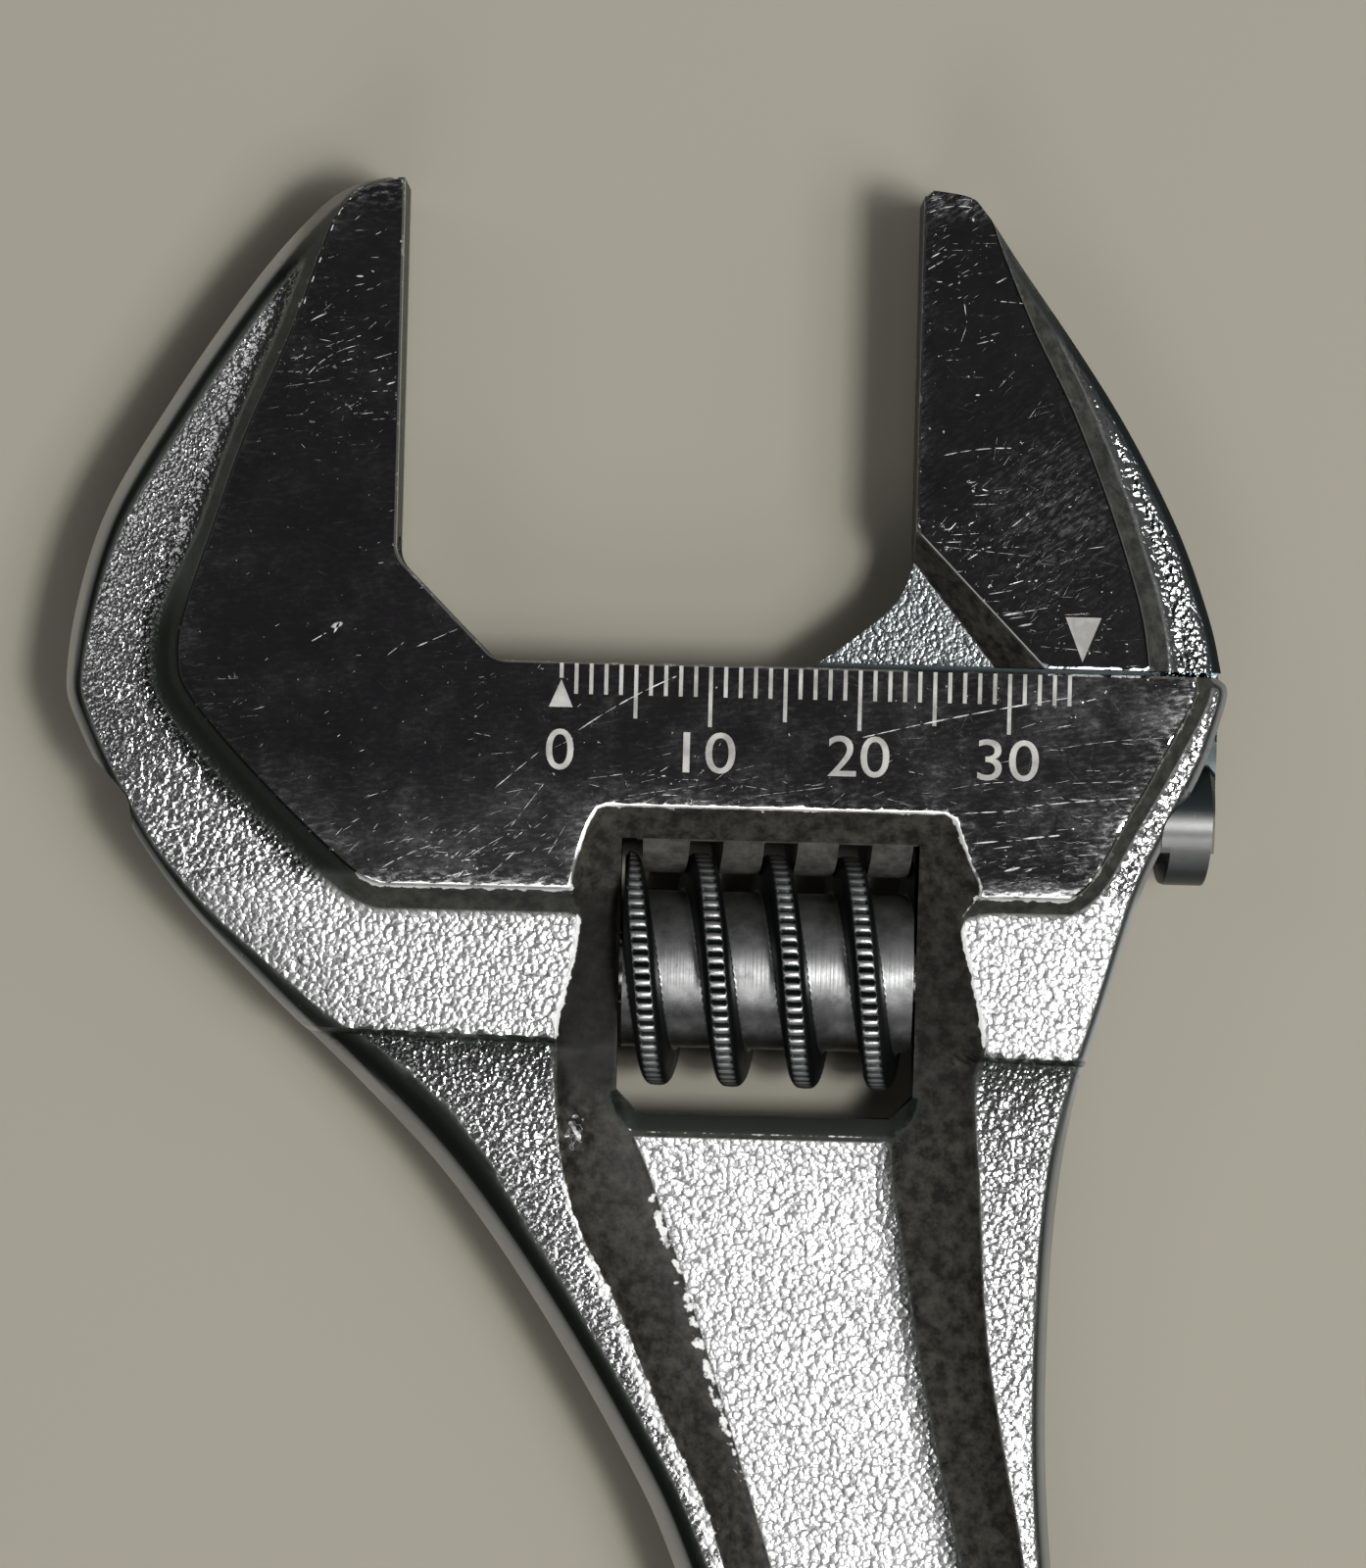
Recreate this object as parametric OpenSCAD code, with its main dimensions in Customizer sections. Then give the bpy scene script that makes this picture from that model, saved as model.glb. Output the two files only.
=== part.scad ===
// Adjustable wrench: a forged body with the fixed jaw, a movable jaw on a round
// toothed slide, and the knurled worm that drives it.
// +X is the way the movable jaw opens, +Y runs towards the jaw tips and +Z is up
// from the back face. The origin is on the back face, where the line of the fixed
// gripping face meets the line of the track.

/* [Head] */
// Thickness over the polished faces of both jaws
head_t = 12; // [11:0.5:15]
// Drop from a polished face to the textured rim
rim_drop = 1.5; // [1:0.1:2]
// Width of the fillet between a polished face and the rim
fillet_w = 1.8; // [1:0.1:2.4]
// Height of the jaw tips above the track
jaw_reach = 32.1; // [28:0.1:36]
// Distance between the gripping faces, as modelled
jaw_open = 34.8; // [33:0.1:34.8]
// Gap left between the gripping faces at the closed stop
closed_gap = 0.1; // [0.05:0.05:0.5]
// Size of the 45 degree throat between the fixed face and the track
throat = 6.8; // [6:0.1:7.5]

/* [Slide] */
// Diameter of the round toothed slide
bar_d = 8.5; // [8:0.1:9]
// Depth of the slide's axis below the track
bar_drop = 9.75; // [9.5:0.05:10.5]
// Thickness of the neck between the slide and the jaw
neck_t = 4; // [3:0.1:5]
// Running clearance all round the slide and its neck
slide_fit = 0.1; // [0.05:0.05:0.2]
// Height of the movable jaw's underside above the track
track_gap = 0.35; // [0.2:0.05:0.6]
// Depth of the rack teeth
tooth_h = 2.2; // [2:0.1:2.6]

/* [Worm] */
// Outside diameter of the worm
worm_d = 15.8; // [15.4:0.1:16]
// Root diameter of the worm
worm_root_d = 10.6; // [10:0.1:11]
// Length of the worm
worm_len = 19.5; // [18:0.1:20]
// Lead of the thread and spacing of the rack teeth
pitch = 5; // [4.8:0.1:5.2]
// Width of the thread at its crest
crest_w = 1.45; // [1.2:0.05:1.6]
// Slope of the thread's flanks
flank_angle = 8; // [4:1:12]
// Depth that the thread reaches into the rack teeth
mesh_h = 1.4; // [1:0.1:1.6]
// Clearance between the thread and a rack tooth, on each side
backlash = 0.15; // [0.12:0.01:0.25]
// Gap between each end of the worm and the window
end_play = 0.25; // [0.1:0.05:0.4]
// Distance from the fixed gripping face to the window
window_x = 15.6; // [15:0.1:16]
// Gap below the worm in the window
window_gap = 1.9; // [1.2:0.1:2.5]

/* [Worm pin] */
// Diameter of the pin
pin_d = 4.84; // [4:0.02:5]
// Running clearance between the pin and the worm, on the radius
pin_fit = 0.08; // [0.04:0.01:0.1]
// Clearance between the pin and the body, on the radius
pin_seat = 0.05; // [0.02:0.01:0.1]
// Diameter of the slotted head
pin_head_d = 7; // [6:0.1:8]
// Length of the slotted head
pin_head_len = 2.8; // [2:0.1:4]
// Thickness of metal between the window and the pin's head
pin_wall = 8.9; // [8:0.1:10]
// Depth of the pin's blind seat beyond the window
pin_seat_len = 4.5; // [3:0.1:6]

/* [Friction spring] */
// Wire diameter
wire_d = 0.7; // [0.5:0.05:0.8]
// Number of turns
spring_turns = 4; // [3:1:5]
// Depth of the counterbore in the worm
spring_bore_len = 4.4; // [4:0.1:6]

/* [Handle] */
// Angle between the handle and the jaws' gripping faces
handle_angle = 15; // [12:0.5:18]
// Length of the grip, from its root to the end of the eye
grip_len = 72.4; // [66:0.1:90]
// Width of the grip at its narrowest
waist_w = 21.5; // [20:0.1:23]
// Width of the grip at the eye
eye_w = 24; // [22:0.1:28]
// Diameter of the hanging hole
eye_d = 8; // [5:0.1:10]
// Thickness over the flanges
flange_t = 8.4; // [7.6:0.1:9]
// Width of a flange on the grip
flange_w = 2.8; // [2:0.1:3.4]
// Width of the sloped wall between a flange and the web
wall_w = 2.6; // [1.5:0.1:3]
// Thickness of the web
web_t = 3.6; // [3:0.1:5]

/* [Hidden] */
$fn = 64;

mid = head_t / 2;
rim_top = head_t - rim_drop;
flange_top = mid + flange_t / 2;
web_top = mid + web_t / 2;
travel = jaw_open - closed_gap;

// Slide, rack and worm, from the track downwards
bar_y = -bar_drop;
tip_y = bar_y - bar_d / 2;
root_y = tip_y + tooth_h;
worm_y = tip_y - worm_d / 2 + mesh_h;
lead_angle = atan(pitch / (PI * (worm_d - mesh_h)));
flank_run = tan(flank_angle);
tooth_gap = crest_w + 2 * mesh_h * flank_run + 2 * backlash;
mesh_x = window_x + 5.3;
slot_t = neck_t + 2 * slide_fit;
bore_d = bar_d + 2 * slide_fit;

// The worm's window
window_len = worm_len + 2 * end_play;
window_end = window_x + window_len;
window_top = bar_y - 1.95;
window_low = worm_y - worm_d / 2 - window_gap;
window_corner = 1.5;
pocket_side = mid + 3.3;
pocket_head = mid + 4.3;

// Fixed jaw and movable jaw
throat_r = 2;
boss_low = -15.2;
rim_end_y = -25.2;
far_x = 60;
gusset_len = 6.8;
gusset_h = 7.3;
slot_end = 0.6;
jaw_foot_w = 20.75;
slide_end = 20.7;
bar_len = 38.9;
pin_slot_w = 1;
pin_slot_h = 1.2;

// The pin, its head and the spring round it
pin_x = window_x - pin_seat_len;
pin_head_x = window_end + pin_wall;
pin_bore_d = pin_d + 2 * pin_fit;
spring_in = pin_d / 2 + 0.2;
spring_bore_d = 2 * (spring_in + wire_d + 0.2);
worm_x = window_x + end_play;

// A point beside the handle's axis: u along it from the grip's root, v to its right
grip_root = [33.15, -60];
function grip(u, v) = grip_root
    + u * [sin(handle_angle), -cos(handle_angle)]
    + v * [cos(handle_angle), sin(handle_angle)];
eye_u = grip_len - eye_w / 2;
waist_u = 0.33 * grip_len;
swell_u = 0.6 * grip_len;
swell_w = (waist_w + eye_w) / 2 - 0.4;

// A point on the curve that passes through b and c, heading from a towards d
function between(a, b, c, d, t) = 0.5 * (2 * b + (c - a) * t
    + (2 * a - 5 * b + 4 * c - d) * t * t
    + (3 * b - a - 3 * c + d) * t * t * t);

// A smooth curve through the knots k, with n points on each span
function curve(k, n) = [
    for (i = [0 : len(k) - 2])
    for (j = [0 : n - 1])
    between(k[max(i - 1, 0)], k[i], k[i + 1], k[min(i + 2, len(k) - 1)], j / n),
    k[len(k) - 1]];

// Arc about the point c from angle a to angle b
function arc(c, r, a, b, n) = [
    for (i = [0 : n])
    c + r * [cos(a + (b - a) * i / n), sin(a + (b - a) * i / n)]];

// Outline p with its height z added
function at(p, z) = [for (q = p) [q[0], q[1], z]];

// Outline p moved outwards by d; p runs anticlockwise
function grow(p, d) = [
    for (i = [0 : len(p) - 1])
    let (t = p[(i + 1) % len(p)] - p[(i + len(p) - 1) % len(p)])
    p[i] + d * [t[1], -t[0]] / norm(t)];

function backwards(p) = [for (i = [len(p) - 1 : -1 : 0]) p[i]];

// Closed solid through a stack of rings with equal numbers of points
module skin(rings) {
    n = len(rings[0]);
    last = (len(rings) - 1) * n;
    polyhedron(
        points = [for (r = rings) for (p = r) p],
        faces = concat(
            [[for (i = [0 : n - 1]) i]],
            [for (k = [0 : len(rings) - 2])
             for (i = [0 : n - 1])
             let (a = k * n + i, b = k * n + (i + 1) % n)
             each [[a, b + n, b], [a, a + n, b + n]]],
            [[for (i = [n - 1 : -1 : 0]) last + i]]));
}

// The same thing on the front and on the back
module both_faces() {
    children();
    translate([0, 0, head_t])
        mirror([0, 0, 1])
            children();
}

// Cylinder along X from x0 to x1 at height y in the middle plane
module rod(x0, x1, y, d) {
    translate([x0, y, mid])
        rotate([0, 90, 0])
            cylinder(d = d, h = x1 - x0);
}

// ---- Body ----

// Back of the fixed jaw, round the head and down the left side of the handle
back_edge = curve([
    [-1.2, jaw_reach],
    [-3.7, 0.98 * jaw_reach],
    [-6.1, 0.928 * jaw_reach],
    [-10, 0.785 * jaw_reach],
    [-15.4, 0.533 * jaw_reach],
    [-20, 0.268 * jaw_reach],
    [-22, -0.6],
    [-20.9, -5.6],
    [-15, -15.2],
    [-8.3, -22.3],
    [-1.4, -28.8],
    [4.6, -35],
    [10.6, -43.2],
    [16.6, -53],
    grip(-3.4, -12.65),
    grip(0.5 * waist_u, -waist_w / 2 - 0.5),
    grip(waist_u, -waist_w / 2),
    grip(swell_u, -swell_w / 2),
    grip(eye_u, -eye_w / 2)], 4);

// Right side of the handle and of the head, up to the track
front_edge = curve([
    grip(eye_u, eye_w / 2),
    grip(swell_u, swell_w / 2),
    grip(waist_u, waist_w / 2),
    grip(0.5 * waist_u, waist_w / 2 + 0.4),
    grip(3.2, 12.07),
    [45, -50],
    [45.2, -38],
    [46.3, -29.2],
    [48.4, -21.8],
    [50.5, -14.7],
    [52.5, -10.2],
    [54.5, -6],
    [55.8, -2],
    [55.9, -0.6],
    [55.2, 0]], 4);

// End of the grip: half a circle of radius r about the axis at u
function eye_end(r, u) = [
    for (i = [1 : 15])
    let (t = 180 * i / 16)
    grip(u + r * sin(t), -r * cos(t))];

throat_c = throat + (sqrt(2) - 1) * throat_r;
silhouette = concat(
    [[0, jaw_reach]],
    back_edge,
    eye_end(eye_w / 2, eye_u),
    front_edge,
    arc([throat_c, throat_r], throat_r, 270, 225, 4),
    arc([throat_r, throat_c], throat_r, 225, 180, 4));

// Polished face of the body; past the gripping face and the track it runs on
// into the open, and the silhouette trims it there
boss = concat(
    [[3, jaw_reach + 1]],
    curve([
        [-0.2, jaw_reach],
        [-2.2, 0.985 * jaw_reach],
        [-3.5, 0.963 * jaw_reach],
        [-4.6, 0.916 * jaw_reach],
        [-5.6, 0.832 * jaw_reach],
        [-7.5, 0.664 * jaw_reach],
        [-10.2, 0.461 * jaw_reach],
        [-12.1, 0.28 * jaw_reach],
        [-13.9, 0.1 * jaw_reach],
        [-14.4, -0.2],
        [-13.4, -3.1],
        [-8.4, -8.7],
        [-2.7, -14],
        [-0.5, -15.2]], 3),
    curve([
        [45.7, -15.1],
        [47.2, -13.7],
        [49.1, -10.2],
        [51.4, -6],
        [53.5, -1.8],
        [54, 2]], 3),
    [[throat + 3, 2], [3, throat + 3]]);

// Wall of the I-section's recess, from the flange's edge down to the web
recess_u = 0.62 * grip_len;
recess_r = swell_w / 2 - flange_w - 0.3;
waist_in = waist_w / 2 - flange_w;
recess_edge = concat(
    curve([
        [11.8, -27],
        [12.2, -33.8],
        [16.2, -43.2],
        [22.2, -56],
        grip(-2.5, -9.2),
        grip(waist_u, -waist_in),
        grip(recess_u, -recess_r)], 4),
    eye_end(recess_r, recess_u),
    curve([
        grip(recess_u, recess_r),
        grip(waist_u, waist_in),
        grip(2.7, 10.2),
        [42.2, -52.4],
        [40.4, -40],
        [39.7, -30],
        [39.5, -27]], 4));
web_edge = concat(
    curve([
        [16.2, -29.6],
        [17.9, -34.8],
        [22.4, -47.6],
        [25.4, -56.8],
        grip(-1.7, -6.5),
        grip(waist_u, wall_w - waist_in),
        grip(recess_u, wall_w - recess_r)], 4),
    eye_end(recess_r - wall_w, recess_u),
    curve([
        grip(recess_u, recess_r - wall_w),
        grip(waist_u, waist_in - wall_w),
        grip(1.7, 6.5),
        [38.4, -54],
        [36.2, -42.8],
        [34.7, -34.8],
        [34.2, -29.6]], 4));

module recess() {
    skin([
        at(web_edge, web_top),
        at(recess_edge, flange_top),
        at(recess_edge, head_t + 1)]);
}

// Sloped surround of the worm's window, deeper towards the web
pocket_edge = [
    [window_x - 1.4, window_top + 2.2],
    [window_x - 3.6, boss_low],
    [window_x - 3.7, -19.5],
    [window_x - 4.9, -25],
    [window_x - 4.9, -29],
    [window_end + 4.8, -29],
    [window_end + 4.6, -25],
    [window_end + 4.2, -19.5],
    [window_end + 4.5, boss_low],
    [window_end + 1.6, window_top + 2.2]];
pocket_rim = [
    [window_x - 0.9, window_top + 1.2],
    [window_x - 2.7, boss_low - 0.7],
    [window_x - 2.9, -19.5],
    [window_x - 4.1, -25],
    [window_x - 4, -28.8],
    [window_end + 4.2, -28.8],
    [window_end + 4.5, -25],
    [window_end + 3.4, -19.5],
    [window_end + 2.9, boss_low - 0.7],
    [window_end + 1.2, window_top + 1.2]];
pocket_foot = [
    [window_x, window_top, pocket_head],
    [window_x, boss_low - 0.7, pocket_side],
    [window_x, -19.5, pocket_side],
    [window_x, -25, pocket_side - 0.4],
    [window_x, -28, pocket_side - 0.7],
    [window_end, -28, pocket_side - 0.7],
    [window_end, -25, pocket_side - 0.4],
    [window_end, -19.5, pocket_side],
    [window_end, boss_low - 0.7, pocket_side],
    [window_end, window_top, pocket_head]];

module pocket() {
    inside = [for (p = pocket_foot) [
        max(window_x + 1, min(window_end - 1, p[0])),
        max(window_low + 1, min(window_top - 1, p[1])),
        mid]];
    skin([
        inside,
        pocket_foot,
        at(pocket_rim, rim_top),
        at(pocket_edge, head_t),
        at(pocket_edge, head_t + 1)]);
}

module window() {
    translate([0, 0, -1])
        linear_extrude(head_t + 2)
            polygon([
                [window_x, window_top],
                [window_x, window_low + window_corner],
                [window_x + window_corner, window_low],
                [window_end - window_corner, window_low],
                [window_end, window_low + window_corner],
                [window_end, window_top]]);
}

// Plate of thickness t about the middle plane
module slab(t) {
    translate([0, 0, mid - t / 2])
        linear_extrude(t)
            children();
}

// Edge of the thin gusset at the movable jaw's foot, from its tip up to the
// gripping face, measured from that face
gusset_edge = curve([
    [-gusset_len, 0],
    [-0.5 * gusset_len, 0.34 * gusset_h],
    [-0.14 * gusset_len, 0.66 * gusset_h],
    [0, gusset_h]], 4);

// Slot for the neck, with room in the fixed jaw's foot for the gusset
module neck_slot() {
    stop_x = closed_gap - gusset_len - slot_end;
    slab(slot_t)
        polygon(concat(
            [[stop_x, bar_y],
             [far_x, bar_y],
             [far_x, 1],
             [1, gusset_h + 2]],
            [for (p = backwards(gusset_edge))
                [p[0] + closed_gap - slot_end, p[1] + slot_end]]));
}

module pin_holes() {
    rod(pin_x, pin_head_x + 0.5, worm_y, pin_d + 2 * pin_seat);
    rod(pin_head_x, far_x, worm_y, pin_head_d + 2 * pin_seat);
}

module eye() {
    c = grip(eye_u, 0);
    translate([c[0], c[1], -1])
        cylinder(d = eye_d, h = head_t + 2);
}

module body() {
    color("silver")
        difference() {
            union() {
                slab(flange_t)
                    polygon(silhouette);
                intersection() {
                    slab(head_t - 2 * rim_drop)
                        polygon(silhouette);
                    translate([-far_x, rim_end_y, 0])
                        cube([2 * far_x, jaw_reach - rim_end_y + 1, head_t]);
                }
                intersection() {
                    slab(head_t + 2)
                        polygon(silhouette);
                    skin([
                        at(boss, 0),
                        at(grow(boss, fillet_w), rim_drop),
                        at(grow(boss, fillet_w), rim_top),
                        at(boss, head_t)]);
                }
            }
            both_faces()
                pocket();
            both_faces()
                recess();
            window();
            rod(-far_x, far_x, bar_y, bore_d);
            neck_slot();
            pin_holes();
            eye();
        }
}

// ---- Movable jaw ----

// Jaw seen from the front, with its gripping face at x = 0
jaw_side = curve([
    [jaw_foot_w, track_gap],
    [jaw_foot_w - 0.9, 0.125 * jaw_reach],
    [jaw_foot_w - 3.1, 0.305 * jaw_reach],
    [14.2, 0.508 * jaw_reach],
    [10.4, 0.688 * jaw_reach],
    [6.6, 0.85 * jaw_reach],
    [4.1, 0.956 * jaw_reach],
    [3, 0.988 * jaw_reach],
    [0.6, jaw_reach]], 4);
jaw_face_side = curve([
    [15.9, -2],
    [15.7, 0.03 * jaw_reach],
    [15, 0.15 * jaw_reach],
    [13, 0.34 * jaw_reach],
    [10.3, 0.545 * jaw_reach],
    [7.6, 0.71 * jaw_reach],
    [5.4, 0.866 * jaw_reach],
    [4.5, 0.94 * jaw_reach],
    [3.4, jaw_reach + 0.2],
    [-3, jaw_reach + 2]], 4);

// Foot of the jaw is bevelled from the polished faces down to the gusset
bevel_low = [[0, gusset_h + 0.45], [throat - 0.3, track_gap]];
bevel_top = [[0, gusset_h + 2.05], [throat + 2, track_gap]];

// Corner beyond the line through the two points of b, as a triangle
function beyond(b) = [
    b[0] - 0.6 * (b[1] - b[0]),
    [-9, -9],
    b[1] + 0.6 * (b[1] - b[0])];

module jaw_head() {
    difference() {
        intersection() {
            union() {
                slab(head_t - 2 * rim_drop)
                    translate([-1, -1])
                        square([jaw_foot_w + 2, jaw_reach + 2]);
                skin([
                    at(jaw_face, 0),
                    at(grow(jaw_face, fillet_w), rim_drop),
                    at(grow(jaw_face, fillet_w), rim_top),
                    at(jaw_face, head_t)]);
            }
            slab(head_t + 2)
                polygon(concat(
                    [[0, jaw_reach - 0.4],
                     bevel_low[0],
                     bevel_low[1]],
                    jaw_side));
        }
        both_faces()
            skin([
                at(beyond(bevel_low), mid + neck_t / 2),
                at(beyond(bevel_top), head_t),
                at(beyond(bevel_top), head_t + 1)]);
    }
}

jaw_face = concat([[-3, -2]], jaw_face_side);

// Neck in the slot and the gusset above it, as one plate
module neck() {
    slab(neck_t)
        polygon(concat(
            [[-gusset_len, bar_y],
             [slide_end, bar_y],
             [slide_end, track_gap + 1],
             [throat + 2, track_gap + 1],
             [3, gusset_h]],
            backwards(gusset_edge)));
}

// Gaps between the rack teeth, turned to the thread's lead
module rack_gaps() {
    for (x = [mesh_x - pitch : pitch : jaw_open + slide_end + pitch / 2])
        translate([x, root_y - 3 * tooth_h / 2, mid])
            rotate([0, lead_angle, 0])
                cube([tooth_gap, 3 * tooth_h, bar_d + 2], center = true);
}

module movable_jaw() {
    color("darkgray")
        difference() {
            translate([jaw_open, 0, 0])
                union() {
                    jaw_head();
                    neck();
                    rod(slide_end - bar_len, slide_end, bar_y, bar_d);
                }
            rack_gaps();
        }
}

// ---- Worm, its pin and its spring ----

// Section across the thread: the crest spans crest_w of the lead, then the flanks
// fall to the root
crest_a = 180 * crest_w / pitch;
flank_a = 180 * (worm_d - worm_root_d) * flank_run / pitch;
worm_section = concat(
    arc([0, 0], worm_d / 2, -crest_a, crest_a, 8),
    arc([0, 0], worm_root_d / 2, crest_a + flank_a, 360 - crest_a - flank_a, 14));

// Section turned to the thread's place at a point x along the worm
function worm_ring(x) =
    let (a = 360 * (x - mesh_x) / pitch)
    [for (p = worm_section) [
        x,
        worm_y + p[0] * cos(a) - p[1] * sin(a),
        mid + p[0] * sin(a) + p[1] * cos(a)]];

module worm() {
    rings = ceil(20 * worm_len / pitch);
    color("dimgray")
        difference() {
            skin([for (i = [0 : rings]) worm_ring(worm_x + worm_len * i / rings)]);
            rod(worm_x - 1, worm_x + worm_len + 1, worm_y, pin_bore_d);
            rod(worm_x - 1, worm_x + spring_bore_len, worm_y, spring_bore_d);
        }
}

module worm_pin() {
    head_end = pin_head_x + pin_head_len;
    color("gray")
        difference() {
            union() {
                rod(pin_x + 0.1, pin_head_x + 0.5, worm_y, pin_d);
                rod(pin_head_x, head_end, worm_y, pin_head_d);
            }
            translate([head_end - pin_slot_h, worm_y - pin_head_d, mid - pin_slot_w / 2])
                cube([pin_slot_h + 1, 2 * pin_head_d, pin_slot_w]);
        }
}

// Ring of the coil at fraction t of its length
function coil_ring(t) =
    let (
        a = 360 * spring_turns * t,
        r = spring_in + wire_d / 2,
        x0 = window_x + wire_d / 2 + 0.05,
        x1 = worm_x + spring_bore_len - wire_d / 2 - 0.05,
        out = [0, cos(a), sin(a)])
    [for (k = [0 : 7])
        [x0 + (x1 - x0) * t, worm_y, mid]
        + (r + wire_d / 2 * cos(45 * k)) * out
        - [wire_d / 2 * sin(45 * k), 0, 0]];

module worm_spring() {
    rings = 16 * spring_turns;
    color("slategray")
        skin([for (i = [0 : rings]) coil_ring(i / rings)]);
}

body();
movable_jaw();
worm();
worm_pin();
worm_spring();
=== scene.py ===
"""Adjustable wrench: the finish of every surface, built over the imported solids.

Lengths are worked out in millimetres in the model's own frame and put into metres
when a mesh is made: +X is the way the jaw opens, +Y runs to the jaw tips and +Z is
up out of the graduated face. Mid-thickness is at z = 6.
"""
import math
import bpy
import numpy as np
from mathutils.geometry import delaunay_2d_cdt
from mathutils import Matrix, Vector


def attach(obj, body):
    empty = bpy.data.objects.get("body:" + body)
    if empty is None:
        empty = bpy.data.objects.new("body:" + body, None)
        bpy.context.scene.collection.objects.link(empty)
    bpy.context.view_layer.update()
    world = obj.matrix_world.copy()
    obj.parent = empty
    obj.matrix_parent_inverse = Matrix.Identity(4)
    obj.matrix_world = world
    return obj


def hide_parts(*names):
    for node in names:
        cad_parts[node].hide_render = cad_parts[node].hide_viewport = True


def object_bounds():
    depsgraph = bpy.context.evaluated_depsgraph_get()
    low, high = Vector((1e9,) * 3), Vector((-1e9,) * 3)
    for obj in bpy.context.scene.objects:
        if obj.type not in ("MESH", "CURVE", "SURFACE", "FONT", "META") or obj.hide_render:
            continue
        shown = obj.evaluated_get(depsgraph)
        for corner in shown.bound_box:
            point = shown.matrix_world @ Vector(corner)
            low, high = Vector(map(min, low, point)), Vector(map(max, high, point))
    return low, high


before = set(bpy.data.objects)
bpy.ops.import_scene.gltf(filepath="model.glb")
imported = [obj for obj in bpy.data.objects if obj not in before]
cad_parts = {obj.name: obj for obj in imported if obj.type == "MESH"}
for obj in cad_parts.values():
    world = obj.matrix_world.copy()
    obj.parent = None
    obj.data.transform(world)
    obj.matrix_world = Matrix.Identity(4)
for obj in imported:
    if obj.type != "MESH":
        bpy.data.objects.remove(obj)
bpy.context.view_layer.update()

# ---------------------------------------------------------------- Forged body
# One drop forging, nickel plated: the handle, the head and the fixed jaw. Its flat
# faces are ground and polished, and the rim round them keeps the rough forged skin.
# Front and back are alike, each a height over the plan, half the thickness there.

MM = 0.001
HALF = 6.0                    # half the thickness over the polished faces
RIM = 4.5                     # half the thickness at the rim
FLANGE = 4.15                 # half the thickness at the handle's flanges
WEB = 1.8                     # half the thickness of the handle's web
REACH = 32.1                  # height of the jaw tips above the track
OPEN = 34.8                   # distance between the gripping faces
THROAT = 6.8                  # size of the 45 degree throat
FILLET_W = 2.2                # width of the fillet round the polished face
TILT = math.radians(15)       # the handle's angle to the gripping faces
GRIP_LEN, WAIST_W = 72.4, 21.5          # the grip, and its width at the waist
EYE_W, EYE_D = 24.0, 8.0                # the grip's round end, and its hanging hole
WINDOW = (15.6, 35.6, -30.3, -11.7)     # the worm's window: x from and to, y from and to
BAR_Y, WORM_Y = -9.75, -20.5            # the slide's and the worm's middle lines
STEP_Y = -25.2                          # the step from the head down to the flanges
CHANNEL_R, SLOT_HALF = 4.35, 2.1        # the slide's channel, and half the slot over it
PIN_HOLE_R, HEAD_HOLE_R = 2.47, 3.55    # the worm pin's hole, and the hole for its head
PIN_X, PIN_HEAD_X = 11.2, 44.5          # where the pin ends, and where its head is seated
FOOT_HALF = 3.45                        # half the height of the room for the jaw's foot
FINE = 0.5                              # spacing of the mesh along the edges


def grip(u, v):
    """Point beside the handle's axis: u along it from the grip's root, v to its right."""
    s, c = math.sin(TILT), math.cos(TILT)
    return [33.15 + u * s + v * c, -60 - u * c + v * s]


def smooth_line(knots, n=10):
    """Catmull-Rom curve through the knots: on each span a cubic blend of four knots."""
    k = np.asarray(knots, float)
    a, b, c, d = np.vstack([k[:1], k[:-2]]), k[:-1], k[1:], np.vstack([k[2:], k[-1:]])
    t = (np.arange(n) / n)[None, :, None]
    a, b, c, d = (q[:, None, :] for q in (a, b, c, d))
    p = 0.5 * (2 * b + (c - a) * t + (2 * a - 5 * b + 4 * c - d) * t**2
               + (3 * b - a - 3 * c + d) * t**3)
    return np.vstack([p.reshape(-1, 2), k[-1:]])


def arc(cx, cy, r, start, end, n=8):
    """Points on a circle from one angle to another, in degrees."""
    a = np.radians(np.linspace(start, end, n))
    return np.column_stack([cx + r * np.cos(a), cy + r * np.sin(a)])


def eye_end(r, u):
    """Half circle of radius r across the handle's axis, closing the grip's end."""
    t = np.pi * np.arange(1, 40) / 40
    return np.array([grip(u + r * math.sin(a), -r * math.cos(a)) for a in t])


def divided(line, closed=False):
    """The same line with every segment cut into equal parts no longer than FINE."""
    p = np.vstack([line, line[:1]]) if closed else np.asarray(line)
    d = np.diff(p, axis=0)
    parts = np.maximum(1, np.ceil(np.hypot(*d.T) / FINE)).astype(int)
    start = np.repeat(np.cumsum(parts) - parts, parts)
    share = (np.arange(parts.sum()) - start) / np.repeat(parts, parts)
    q = np.repeat(p[:-1], parts, 0) + share[:, None] * np.repeat(d, parts, 0)
    return q if closed else np.vstack([q, p[-1:]])


def shifted(line, d, closed=False):
    """The line moved d to its right: outwards, for an anticlockwise outline."""
    if closed:
        t = np.roll(line, -1, 0) - np.roll(line, 1, 0)
    else:
        t = np.gradient(line, axis=0)
    t /= np.hypot(*t.T)[:, None]
    return line + d * np.column_stack([t[:, 1], -t[:, 0]])


def gap_to(p, line, closed=True):
    """Distance from each point to the nearest segment of a line."""
    a, b = (line, np.roll(line, -1, 0)) if closed else (line[:-1], line[1:])
    ab = b - a
    length2 = np.maximum((ab**2).sum(1), 1e-12)
    out = np.empty(len(p))
    for rows in np.array_split(np.arange(len(p)), len(p) // 4000 + 1):
        d = p[rows, None, :] - a
        t = np.clip((d * ab).sum(2) / length2, 0, 1)
        out[rows] = np.sqrt(((d - t[..., None] * ab)**2).sum(2).min(1))
    return out


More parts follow.
